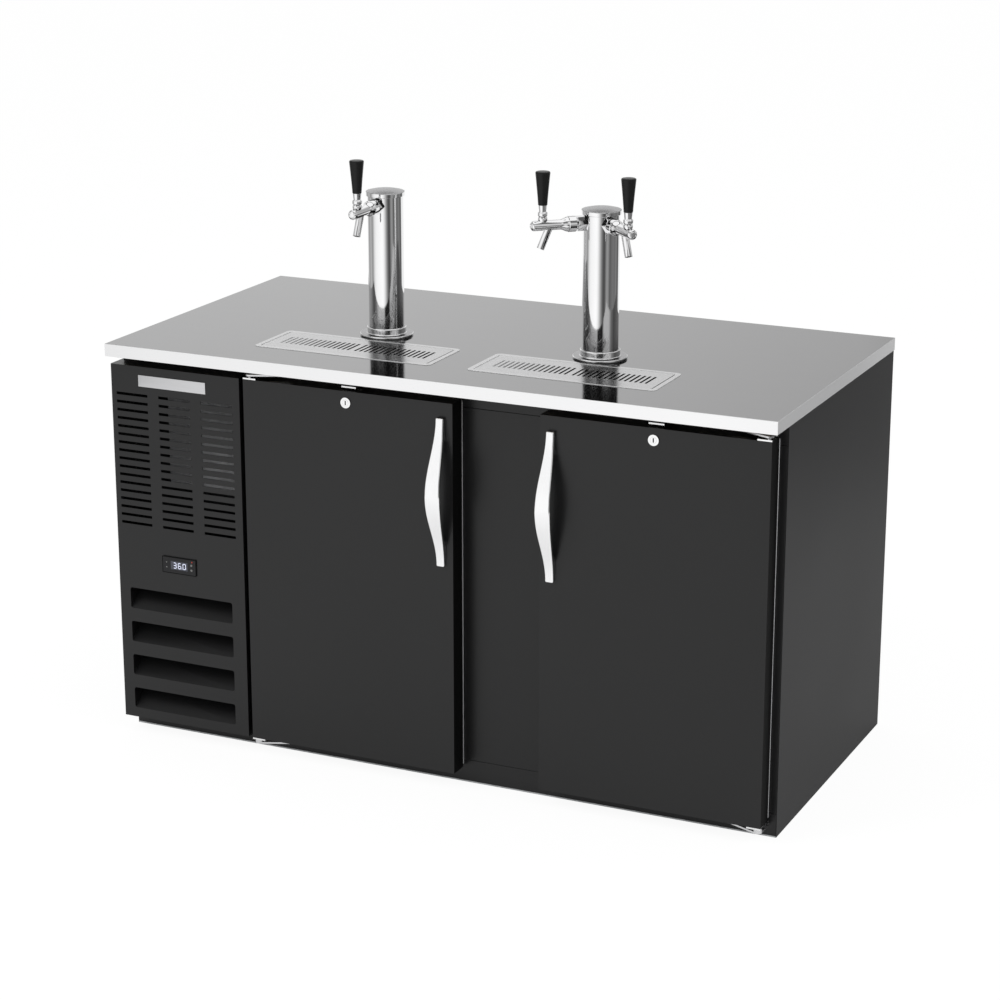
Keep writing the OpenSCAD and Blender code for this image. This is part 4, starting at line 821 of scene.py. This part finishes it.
@dataclass
class Columns(Assembly):
    """The two draught columns.

    Attributes:
        spread: Distance of each column from the cabinet's middle.
        back: Place of the columns along Y.
        foot: Height of the flange's underside.
        wall: Thickness of the tubes' wall and of the caps' top.
        play: Gap between the tube and what fits over it.
        chamfer: Width of the flange's and the cap's lower chamfers.
        rim: Radius, height and rounding of the flange's rim.
        collar: Radius, height and rounding of the flange's collar.
        crown: Height of the cap's top.
        skirt: Radius, height and upper rounding of the cap's skirt.
        rise: Height of that rounding's end above the skirt.
        flat: Faces of the flange whose normal rises more than this are satin.
        sloped: Faces of the cap whose normal rises less than this are polished.
    """

    spread: float = 0.2475
    back: float = -0.05
    foot: float = 0.883
    radius: float = 0.0381
    wall: float = 0.002
    play: float = 0.0001
    chamfer: float = 0.0006
    rim: Triple = (0.057, 0.004, 0.0018)
    collar: Triple = (0.042, 0.018, 0.0025)
    fillet: float = 0.002
    crown: float = 1.197
    dome: float = 0.006
    skirt: Triple = (0.0413, 0.009, 0.0016)
    rise: float = 0.0004
    flat: float = 0.9
    sloped: float = 0.5

    DOME_STEPS = 10

    def tube(self) -> Outline:
        """Half outline of the tube's wall."""
        top = self.crown - self.dome - self.wall
        inner, outer = self.radius - self.wall, self.radius
        return [(inner, self.foot), (outer, self.foot), (outer, top), (inner, top), (inner, self.foot)]

    def flange(self) -> Outline:
        """Half outline of the base flange with its rounded rim and collar."""
        z, hollow = self.foot, self.fillet
        wide, thick, soft = self.rim
        narrow, tall, softer = self.collar
        bore, top = self.radius + self.play, z + tall
        foot = [(wide - self.chamfer, z), (wide, z + self.chamfer)]
        rim = corner(wide, z + thick, soft, soft)
        x, y = narrow + hollow, z + thick + hollow
        fillet = [(x - hollow * math.sin(a), y - hollow * math.cos(a)) for a in QUARTER]
        lip = corner(narrow, top, softer, softer)
        return [(bore, z), *foot, *rim, *fillet, *lip, (bore, top), (bore, z)]

    def cap(self) -> Outline:
        """Half outline of the cap with its rounded shoulder and low dome."""
        inner, rim = self.radius + self.play, self.crown - self.dome
        outer, tall, soft = self.skirt
        low, ceiling = rim - tall, rim - self.wall
        foot = [(outer - self.chamfer, low), (outer, low + self.chamfer)]
        shoulder = corner(outer, rim + self.rise, soft, soft)
        shares = [1 - k / self.DOME_STEPS for k in range(1, self.DOME_STEPS + 1)]
        dome = [((outer - soft) * s, self.crown - (self.dome - self.rise) * s ** 2) for s in shares]
        return [(0.0, ceiling), (inner, ceiling), (inner, low), *foot, *shoulder, *dome]

    def turned(self, node: str, outline: Outline, finish: Finish | None = None) -> Thing:
        """Turn one outline for both columns and let it stand for its node.

        Args:
            node: The node's name.
            outline: Radius and height above the floor.
            finish: The finish where that isn't chrome.

        Returns:
            The piece.
        """
        places = (Matrix.Translation((side * self.spread, self.back, 0.0)) for side in (-1.0, 1.0))
        shapes = joined(lathe(outline, place, steps=128) for place in places)
        piece = self.shop.piece(node + "_turned", shapes, "chrome", finish)
        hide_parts(node)
        return piece

    def build(self) -> None:
        """Turn tubes, flanges and caps."""
        self.turned("column_tubes", self.tube())
        flanges = self.turned("column_flanges", self.flange())
        self.shop.second_finish(flanges, CAP_STEEL, lambda face: face.normal.z > self.flat)
        caps = self.turned("column_caps", self.cap(), CAP_STEEL)
        self.shop.second_finish(caps, FINISHES["chrome"], lambda face: face.normal.z < self.sloped)


@dataclass
class TapGrip:
    """Black tap handle: a taper that swells to a rounded top. Heights are above its foot.

    Attributes:
        radii: Radius above the chamfered foot and below the rounded top.
        chamfer: Width of the foot's chamfer.
        taper: Height at which the taper ends.
        swell: Power of the taper's swelling curve.
        rounding: Height at which the rounding ends, its width and its height.
        crown: Radius and height of the flat crown.
    """

    radii: Pair = (0.0095, 0.01525)
    chamfer: float = 0.0005
    taper: float = 0.065
    swell: float = 1.15
    rounding: Triple = (0.0684, 0.003, 0.0026)
    crown: Pair = (0.006, 0.069)

    def outline(self, low: float, steps: int = 8) -> Outline:
        """Half outline of the handle.

        Args:
            low: Height of its foot.
            steps: Steps of the taper.

        Returns:
            Points as radius and height.
        """
        foot, head = self.radii
        end, across, up = self.rounding
        flat, tall = self.crown
        rise = self.taper - self.chamfer
        shares = [k / steps for k in range(steps + 1)]
        side = [(foot + (head - foot) * s ** self.swell, low + self.chamfer + rise * s) for s in shares]
        top = corner(head, low + end, across, up)
        return [(0.0, low), (foot - self.chamfer, low), *side, *top, (flat, low + tall), (0.0, low + tall)]


@dataclass
class Faucets(Assembly):
    """The three faucets with their levers and tap handles.

    Attributes:
        columns: The columns that carry them.
        height: Height of the faucets' axes.
        lever: Distance of the lever from the column's axis.
        grip_foot: Height of the tap handle's foot above the faucet's axis.
        tip: Distance of the front tip from the column's axis.
        PLUG: Half outline of the plug in a front end, with heights from the tip.
    """

    columns: Columns
    height: float = 1.165
    lever: float = 0.1265
    grip_foot: float = 0.042
    tip: float = 0.1515

    PLUG = (
        (0.0, -0.003), (0.0062, -0.003), (0.0062, 0.0002), (0.0056, 0.0008), (0.0046, 0.0008),
        (0.0042, 0.0002), (0.0030, 0.0002), (0.0, 0.0004),
    )

    def frame_of(self, tap: Tap) -> Matrix:
        """Local frame of a faucet: +X outwards along its axis."""
        _, side, turn = tap.value
        place = Matrix.Translation((side * self.columns.spread, self.columns.back, self.height))
        return place @ Matrix.Rotation(math.radians(turn) - RIGHT_ANGLE, 4, "Z")

    def build(self) -> None:
        """Round the castings, turn the handles and close the front ends."""
        self.shop.softened("faucet_bodies", rounding=0.0004, limit=40.0)
        self.shop.softened("faucet_nuts", rounding=0.0005, limit=28.0)
        lay = Matrix.Rotation(RIGHT_ANGLE, 4, "Y")
        plug = [(r, self.tip + h) for r, h in self.PLUG]
        plugs = joined(lathe(plug, self.frame_of(tap) @ lay, steps=48) for tap in Tap)
        self.shop.piece("faucet_front_plugs", plugs, "chrome")
        for tap in Tap:
            name = tap.value[0]
            self.shop.softened(name + "_tap_lever", rounding=0.0004, limit=25.0)
            stand = self.frame_of(tap) @ Matrix.Translation((self.lever, 0.0, 0.0))
            grip = lathe(TapGrip().outline(self.grip_foot), stand, steps=64)
            handle = self.shop.piece(name + "_tap_grip", grip, "black_gloss", body=name + "_tap_lever_body")
            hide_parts(name + "_tap_handle")


@dataclass
class Door(Assembly):
    """One insulated door with its handle, lock and hinge plates.

    Attributes:
        side: Which door it is.
        end_on: Faces of the sheet whose normal has a larger part along X are its ends.
        lock_z: Height of the lock.
        keyway: Half width, depth behind the lock's face and half length that the keyway stays within.
        mouth: Depth behind the lock's face at which the keyway begins.
    """

    side: Side
    end_on: float = 0.9
    lock_z: float = 0.81
    keyway: Triple = (0.0014, 0.0042, 0.0046)
    mouth: float = 0.0001

    def in_keyway(self, face: Face) -> bool:
        """Tell whether a face of the plug lies inside the keyway.

        Args:
            face: The face.

        Returns:
            Whether it does.
        """
        low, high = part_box(self.side.value + "_door_skin")
        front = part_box(self.side.value + "_lock_plug")[0].y
        wide, deep, tall = self.keyway
        x, y, z = face.center
        beside = abs(x - (low.x + high.x) / 2) < wide
        return beside and self.mouth < y - front < deep and abs(z - self.lock_z) < tall

    def build(self) -> None:
        """Round the sheet, the handle and the fittings."""
        name = self.side.value
        skin = self.shop.softened(name + "_door_skin", rounding=0.0015, segments=3)
        # The skin's end faces take a matt black, a painted shade of the gaps beside the doors.
        self.shop.second_finish(skin, SHADE_BLACK, lambda face: abs(face.normal.x) > self.end_on)
        self.shop.softened(name + "_door_liner", rounding=0.004, segments=3)
        self.shop.softened(name + "_door_gasket", rounding=0.0018, segments=3)
        self.shop.softened(name + "_door_handle", rounding=0.0032, segments=5, limit=25.0)
        self.shop.softened(name + "_door_fittings", rounding=0.0005)
        plug = self.shop.softened(name + "_lock_plug", rounding=0.0002)
        # Faces inside the keyway take a near-black painted shade.
        self.shop.second_finish(plug, KEYWAY_SHADE, self.in_keyway)


@dataclass
class HingeSet(Assembly):
    """Hinge brackets and strikes on the cabinet.

    Attributes:
        lip: Height of the strikes' bright lips.
    """

    lip: float = 0.0035

    def build(self) -> None:
        """Round their edges and brighten the lips."""
        self.shop.softened("hinge_brackets", rounding=0.0005)
        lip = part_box("strike_plates")[0].z + self.lip
        steel = LippedSteel("lipped_strike_steel", (0.9, 0.9, 0.905), 0.2, lip=lip)
        self.shop.softened("strike_plates", rounding=0.00025, finish=steel)


@dataclass
class GrillePanel(Assembly):
    """Slotted panel in front of the machine compartment, with its blank badge.

    Attributes:
        face: Front of the panel along Y.
        badge_centre: Middle of the badge along X and Z.
        badge_size: Width, thickness and height of the badge.
    """

    face: float = -0.358
    badge_centre: Pair = (-0.599, 0.8035)
    badge_size: Triple = (0.164, 0.0014, 0.025)

    def build(self) -> None:
        """Round the panel's edges and add the badge."""
        self.shop.softened("grille_panel", rounding=0.0007)
        x, z = self.badge_centre
        middle = (x, self.face - self.badge_size[1] / 2, z)
        plate = slab(self.badge_size, middle, rounding=0.0004, segments=3)
        self.shop.piece("blank_badge", plate, "stainless", BADGE_STEEL)


@dataclass
class RearCover(Assembly):
    """Screws that hold the service cover on the back.

    Attributes:
        inset: Distance of the screws from the cover's edges.
        head: Radius of a screw's head.
        HEAD: Half outline of a head, with its radii as shares of the head's.
    """

    inset: float = 0.009
    head: float = 0.0042

    HEAD = (
        (0.0, 0.0006), (0.35, 0.0006), (0.42, 0.0016), (0.7, 0.0019), (1.0, 0.0008), (1.0, -0.0005),
        (0.0, -0.0005),
    )

    def build(self) -> None:
        """Set the screws round the cover."""
        low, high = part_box("rear_cover")
        outline = [(share * self.head, h) for share, h in self.HEAD]
        turn = Matrix.Rotation(-RIGHT_ANGLE, 4, "X")
        heads = []
        for x in (low.x + self.inset, (low.x + high.x) / 2, high.x - self.inset):
            for z in (low.z + self.inset, high.z - self.inset):
                heads.append(lathe(outline, Matrix.Translation((x, high.y, z)) @ turn, steps=24))
        self.shop.piece("rear_cover_screws", joined(heads), "zinc")


class MachineRoom(Assembly):
    """What shows behind the slots."""

    def build(self) -> None:
        """Give the control box and the shroud behind the slots a darker zinc with painted shade and a painted
        highlight towards the lower right.
        """
        self.shop.softened("control_box", rounding=0.002, segments=3, finish=BOX_ZINC)
        self.shop.softened("fan_shroud", rounding=0.0005, finish=BOX_ZINC)


@dataclass
class Controller(Assembly):
    """Temperature controller with its lit digits.

    Attributes:
        centre: Middle of the bezel along X and Z.
        window: Front of the window along Y.
        shade_bar: Width and thickness of the matt black bars along the bezel's edges, which paint the shade
            of the groove round it.
        pitch: Distance between digits, as a share of their width.
        shift: Distance of the middle digit from the bezel's middle.
        trims: Shares of a stroke by which lying and standing bars are shorter.
        lit: Thickness of the lit bars, and how far their middle stands in front of the window.
        soft: Rounding of all these bars.
        reading: The digits shown, with the point before the last one.
        BARS: Lit bars of each figure, from a at the top round to f, and g in the middle.
        LAMP: Half outline of a lamp.
        LAMPS: Name, place from the bezel's middle and finish of each lamp.
    """

    centre: Pair = (-0.5954, 0.4025)
    window: float = -0.3605
    bezel: Pair = (0.084, 0.037)
    shade_bar: Pair = (0.0016, 0.0004)
    digit: Pair = (0.0066, 0.0118)
    pitch: float = 1.78
    shift: float = 0.001
    stroke: float = 0.0013
    trims: Pair = (1.15, 0.65)
    lit: Pair = (0.0003, 0.0001)
    soft: float = 0.0001
    reading: str = "360"

    BARS = {"0": "abcdef", "3": "abgcd", "6": "acdefg"}
    LAMP = ((0.0, -0.0006), (0.0016, -0.0006), (0.0016, 0.0002), (0.0011, 0.0007), (0.0, 0.0009))
    LAMPS = (
        ("controller_spot_0", (-0.031, 0.0055), KEY_GREY),
        ("controller_spot_1", (-0.031, -0.0055), KEY_GREY),
        ("controller_red_lamp", (0.032, 0.0125), RED_LIGHT),
    )

    def lit_bar(self, wide: float, tall: float, x: float, dz: float) -> Shape:
        """Make a lit bar of some width and height, round X and a height above the bezel's middle."""
        thick, proud = self.lit
        return slab((wide, thick, tall), (x, self.window - proud, self.centre[1] + dz), self.soft)

    def bar(self, letter: str, x: float) -> Shape:
        """Make one bar of a digit.

        Args:
            letter: The bar's letter.
            x: Middle of the digit.

        Returns:
            The bar.
        """
        w, h = self.digit
        flat = (w - self.stroke * self.trims[0], self.stroke)
        tall = (self.stroke, h / 2 - self.stroke * self.trims[1])
        size, dx, dz = {
            "a": (flat, 0.0, h / 2), "g": (flat, 0.0, 0.0), "d": (flat, 0.0, -h / 2),
            "f": (tall, -w / 2, h / 4), "b": (tall, w / 2, h / 4),
            "e": (tall, -w / 2, -h / 4), "c": (tall, w / 2, -h / 4),
        }[letter]
        return self.lit_bar(*size, x + dx, dz)

    def outline(self) -> None:
        """Lay matt black bars along the bezel's edges as painted shade of the groove round it."""
        w, h = self.bezel
        x, z = self.centre
        bar, thick = self.shade_bar
        bars = []
        for side in (-1.0, 1.0):
            lying = (x, self.window, z + side * (h - bar) / 2)
            standing = (x + side * (w - bar) / 2, self.window, z)
            bars.append(slab((w, thick, bar), lying, self.soft))
            bars.append(slab((bar, thick, h - 2 * bar), standing, self.soft))
        self.shop.piece("controller_shade_frame", joined(bars), "controller", SHADE_BLACK)

    def build(self) -> None:
        """Round the case and light the digits and lamps."""
        self.shop.softened("controller_case", rounding=0.0007)
        self.outline()
        x, z = self.centre
        pitch = self.digit[0] * self.pitch
        bars = []
        for place, figure in enumerate(self.reading, -1):
            bars += [self.bar(letter, x + place * pitch + self.shift) for letter in self.BARS[figure]]
        bars.append(self.lit_bar(self.stroke, self.stroke, x + pitch / 2 + self.shift, -self.digit[1] / 2))
        self.shop.piece("display_digits", joined(bars), "display", DIGIT_LIGHT)
        face = Matrix.Rotation(RIGHT_ANGLE, 4, "X")
        for name, (dx, dz), finish in self.LAMPS:
            lamp = lathe(self.LAMP, Matrix.Translation((x + dx, self.window, z + dz)) @ face, steps=24)
            self.shop.piece(name, lamp, "controller", finish)


@dataclass
class Studio:
    """Camera, lamps, floor and the rings of cloth that metal reflects.

    Tones of a ring are listed by their angle from straight ahead towards the right, in degrees.

    Attributes:
        eye: Place of the camera, which looks at the target.
        fill: Strength of the world's light.
        levels: Heights at which the rings meet, from the floor up.
        SECOND: Ray depth past which a ring is seen through a second reflection.
        WALL: Tones of the wall behind the cabinet, which three rings share.
        LOW: Tones of the lowest ring, which the columns show.
        ROOM: Tones of the two rings above it, where metal shows them directly.
        TABLE: Tones of the lower of these two after a second reflection.
        FLAG: Tones of the two rings above that after a second reflection, with a dark front that darkens the
            columns' images in the worktop.
        HIGH: Tones of the high ring where the faucets show it directly.
        TOP: Tones of the topmost ring, which draws dark lines along the chrome.
    """

    eye: Triple = (2.3229, -5.0154, 2.2016)
    target: Triple = (-0.0037, 0.0, 0.5273)
    lens: float = 96.27
    fill: float = 0.75
    lamp_size: float = 2.4
    lamp_aim: Triple = (0.0, 0.0, 0.6)
    ring_radius: float = 2.6
    levels: tuple[float, ...] = (0.0, 1.1, 1.46, 1.95, 3.1, 4.0)

    SECOND = 1.5
    WALL = ((180, 0.74), (190, 0.79), (201, 0.85), (216, 0.9), (232, 0.9), (245, 0.6))
    LOW = (
        (-90, 0.42), (-80, 0.48), (-70, 0.3), (-62, 0.4), (-52, 0.78), (-40, 0.95), (-27, 1.0), (-4, 1.06),
        (4, 1.02), (12, 0.84), (20, 0.55), (28, 0.28), (38, 0.1), (46, 0.07), (50, 0.1), (56, 0.23),
        (62, 0.31), (68, 0.27), (79, 0.1), (85, 0.14), (100, 0.18), (112, 0.15), (124, 0.22), (136, 0.1),
        (147, 0.14), (153, 0.9), (205, 0.95), (236, 1.0), (250, 0.5), (264, 0.32), (270, 0.42),
    )
    ROOM = (
        (-90, 0.5), (-60, 0.6), (-42, 1.0), (0, 1.0), (28, 0.55), (60, 0.65), (100, 0.5), (160, 0.42),
        (170, 0.45), *WALL, (270, 0.5),
    )
    TABLE = (
        (-90, 0.5), (-62, 0.12), (-45, 0.3), (-28, 0.95), (6, 0.95), (14, 0.03), (38, 0.03), (48, 0.9),
        (75, 0.9), (90, 0.3), (110, 0.12), (160, 0.3), (170, 0.45), *WALL, (270, 0.5),
    )
    FLAG = ((-90, 0.01), (160, 0.01), (170, 0.4), *WALL, (258, 0.01), (270, 0.01))
    HIGH = (
        (-90, 0.5), (-60, 0.25), (-48, 0.9), (-20, 1.0), (-8, 0.35), (20, 0.2), (32, 0.75), (50, 0.85),
        (62, 0.2), (95, 0.15), (108, 0.7), (130, 0.8), (150, 0.35), (172, 0.6), (184, 1.0), (226, 1.0),
        (238, 0.5), (270, 0.5),
    )
    TOP = ((-90, 0.12), (0, 0.06), (90, 0.12), (180, 0.06), (270, 0.12))

    @staticmethod
    def face(thing: Thing, place: Triple, target: Triple) -> None:
        """Put a camera or lamp in its place and turn it to a point."""
        thing.location = place
        thing.rotation_euler = (Vector(target) - Vector(place)).to_track_quat("-Z", "Y").to_euler()

    def camera(self) -> None:
        """Place the camera as the photograph's was."""
        data = bpy.data.cameras.new("photo_camera")
        data.lens = self.lens
        data.sensor_width = 36.0
        data.clip_end = 100.0
        camera = linked("photo_camera", data)
        self.face(camera, self.eye, self.target)
        bpy.context.scene.camera = camera

    @staticmethod
    def seen(g: Graph, eye: float, mirror: float) -> Wire:
        """Share of white for the camera's rays and for mirrored ones, zero for those that only light."""
        camera, gloss, through = (
            g.add("LightPath", out=f"Is {ray} Ray") for ray in ("Camera", "Glossy", "Transmission")
        )
        return camera * eye + (gloss + through) * mirror

    def world(self) -> None:
        """White for the eye and for metal, softer as a light."""
        world = bpy.data.worlds.new("studio_world")
        bpy.context.scene.world = world
        g = Graph(world)
        light, white = (
            g.add("Background", {}, {"Color": WHITE, "Strength": strength}) for strength in (self.fill, 1.0)
        )
        mixed = g.add("MixShader", {}, {0: self.seen(g, eye=1.0, mirror=1.0), 1: light, 2: white})
        g.add("OutputWorld", {}, {"Surface": mixed})

    @staticmethod
    def staged(name: str, bm: Shape) -> tuple[Thing, Graph]:
        """Put a shape on the stage, with a material of its own.

        Args:
            name: Name of the shape and of its material.
            bm: The shape, which is used up.

        Returns:
            Its object and its material's empty graph.
        """
        mesh = mesh_of(name, bm)
        staged = linked(name, mesh)
        material = bpy.data.materials.new(name)
        mesh.materials.append(material)
        return staged, Graph(material)

    def floor(self) -> None:
        """A pale floor that keeps a soft shadow."""
        bm = bmesh.new()
        bmesh.ops.create_grid(bm, x_segments=1, y_segments=1, size=30.0)
        floor, g = self.staged("studio_floor", bm)
        floor.location.z = -0.0005
        matt = g.add("BsdfDiffuse", {}, {"Color": (0.9, 0.9, 0.9, 1.0)})
        glow = g.add("Emission", {}, {"Color": WHITE, "Strength": 1.03})
        mixed = g.add("MixShader", {}, {0: self.seen(g, eye=0.9, mirror=0.3), 1: matt, 2: glow})
        g.add("OutputMaterial", {}, {"Surface": mixed})

    def ring(self, name: str, low: float, high: float, direct: Bands, second: Bands) -> None:
        """Stand up a ring of grey cloth that only metal reflects, as bands of light and dark.

        Args:
            name: Name of the ring.
            low: Height of its lower edge.
            high: Height of its upper edge.
            direct: Its tones where metal shows it directly.
            second: Its tones after a second reflection.
        """
        edges = [(self.ring_radius, height) for height in (low, high)]
        ring, g = self.staged(name, lathe(edges, Matrix(), steps=96))
        for rays in ("camera", "diffuse", "shadow", "transmission"):
            setattr(ring, "visible_" + rays, False)
        turn = g.add("TexGradient", {"gradient_type": "RADIAL"}, {0: g.place()}, out=1)
        tones = (
            g.add("ValToRGB", {"stops": [(angle / 360.0 + 0.25, tone) for angle, tone in bands]}, {0: turn})
            for bands in (direct, second)
        )
        again = g.add("LightPath", out="Ray Depth") > self.SECOND
        glow = g.add("Emission", {}, {"Color": g.blend(again, *tones), "Strength": 1.0})
        g.add("OutputMaterial", {}, {"Surface": glow})

    def lamp(self, name: str, place: Triple, power: float) -> None:
        """Hang a square soft lamp that points at the cabinet.

        Args:
            name: Name of the lamp.
            place: Where it hangs.
            power: Its power in watts.
        """
        data = bpy.data.lights.new(name, "AREA")
        data.energy = power
        data.size = self.lamp_size
        lamp = linked(name, data)
        self.face(lamp, place, self.lamp_aim)
        lamp.visible_glossy = False

    def build(self) -> None:
        """Light the scene."""
        bpy.context.scene.view_settings.view_transform = "Standard"
        self.world()
        self.floor()
        self.lamp("key_lamp", place=(-2.6, -3.4, 4.2), power=90.0)
        self.lamp("side_lamp", place=(4.2, -0.8, 2.8), power=60.0)
        rings = (
            ("low_ring", self.LOW, self.LOW), ("table_ring", self.ROOM, self.TABLE),
            ("flag_ring", self.ROOM, self.FLAG), ("high_ring", self.HIGH, self.FLAG),
            ("top_ring", self.TOP, self.TOP),
        )
        for (name, direct, second), low, high in zip(rings, self.levels, self.levels[1:]):
            self.ring(name, low, high, direct, second)


def main() -> None:
    """Build the studio and every sub-assembly in order."""
    logging.basicConfig(level=logging.INFO, format="%(name)s: %(message)s")
    studio = Studio()
    studio.camera()
    shop = Workshop()
    shop.dress_nodes()
    columns = Columns(shop)
    for part in (
        Carcass(shop), DripTrays(shop), columns, Faucets(shop, columns), Door(shop, Side.LEFT),
        Door(shop, Side.RIGHT), HingeSet(shop), GrillePanel(shop), MachineRoom(shop), RearCover(shop),
        Controller(shop),
    ):
        part.build()
        LOG.info("built %s", type(part).__name__)
    studio.build()


if __name__ == "__main__":
    main()
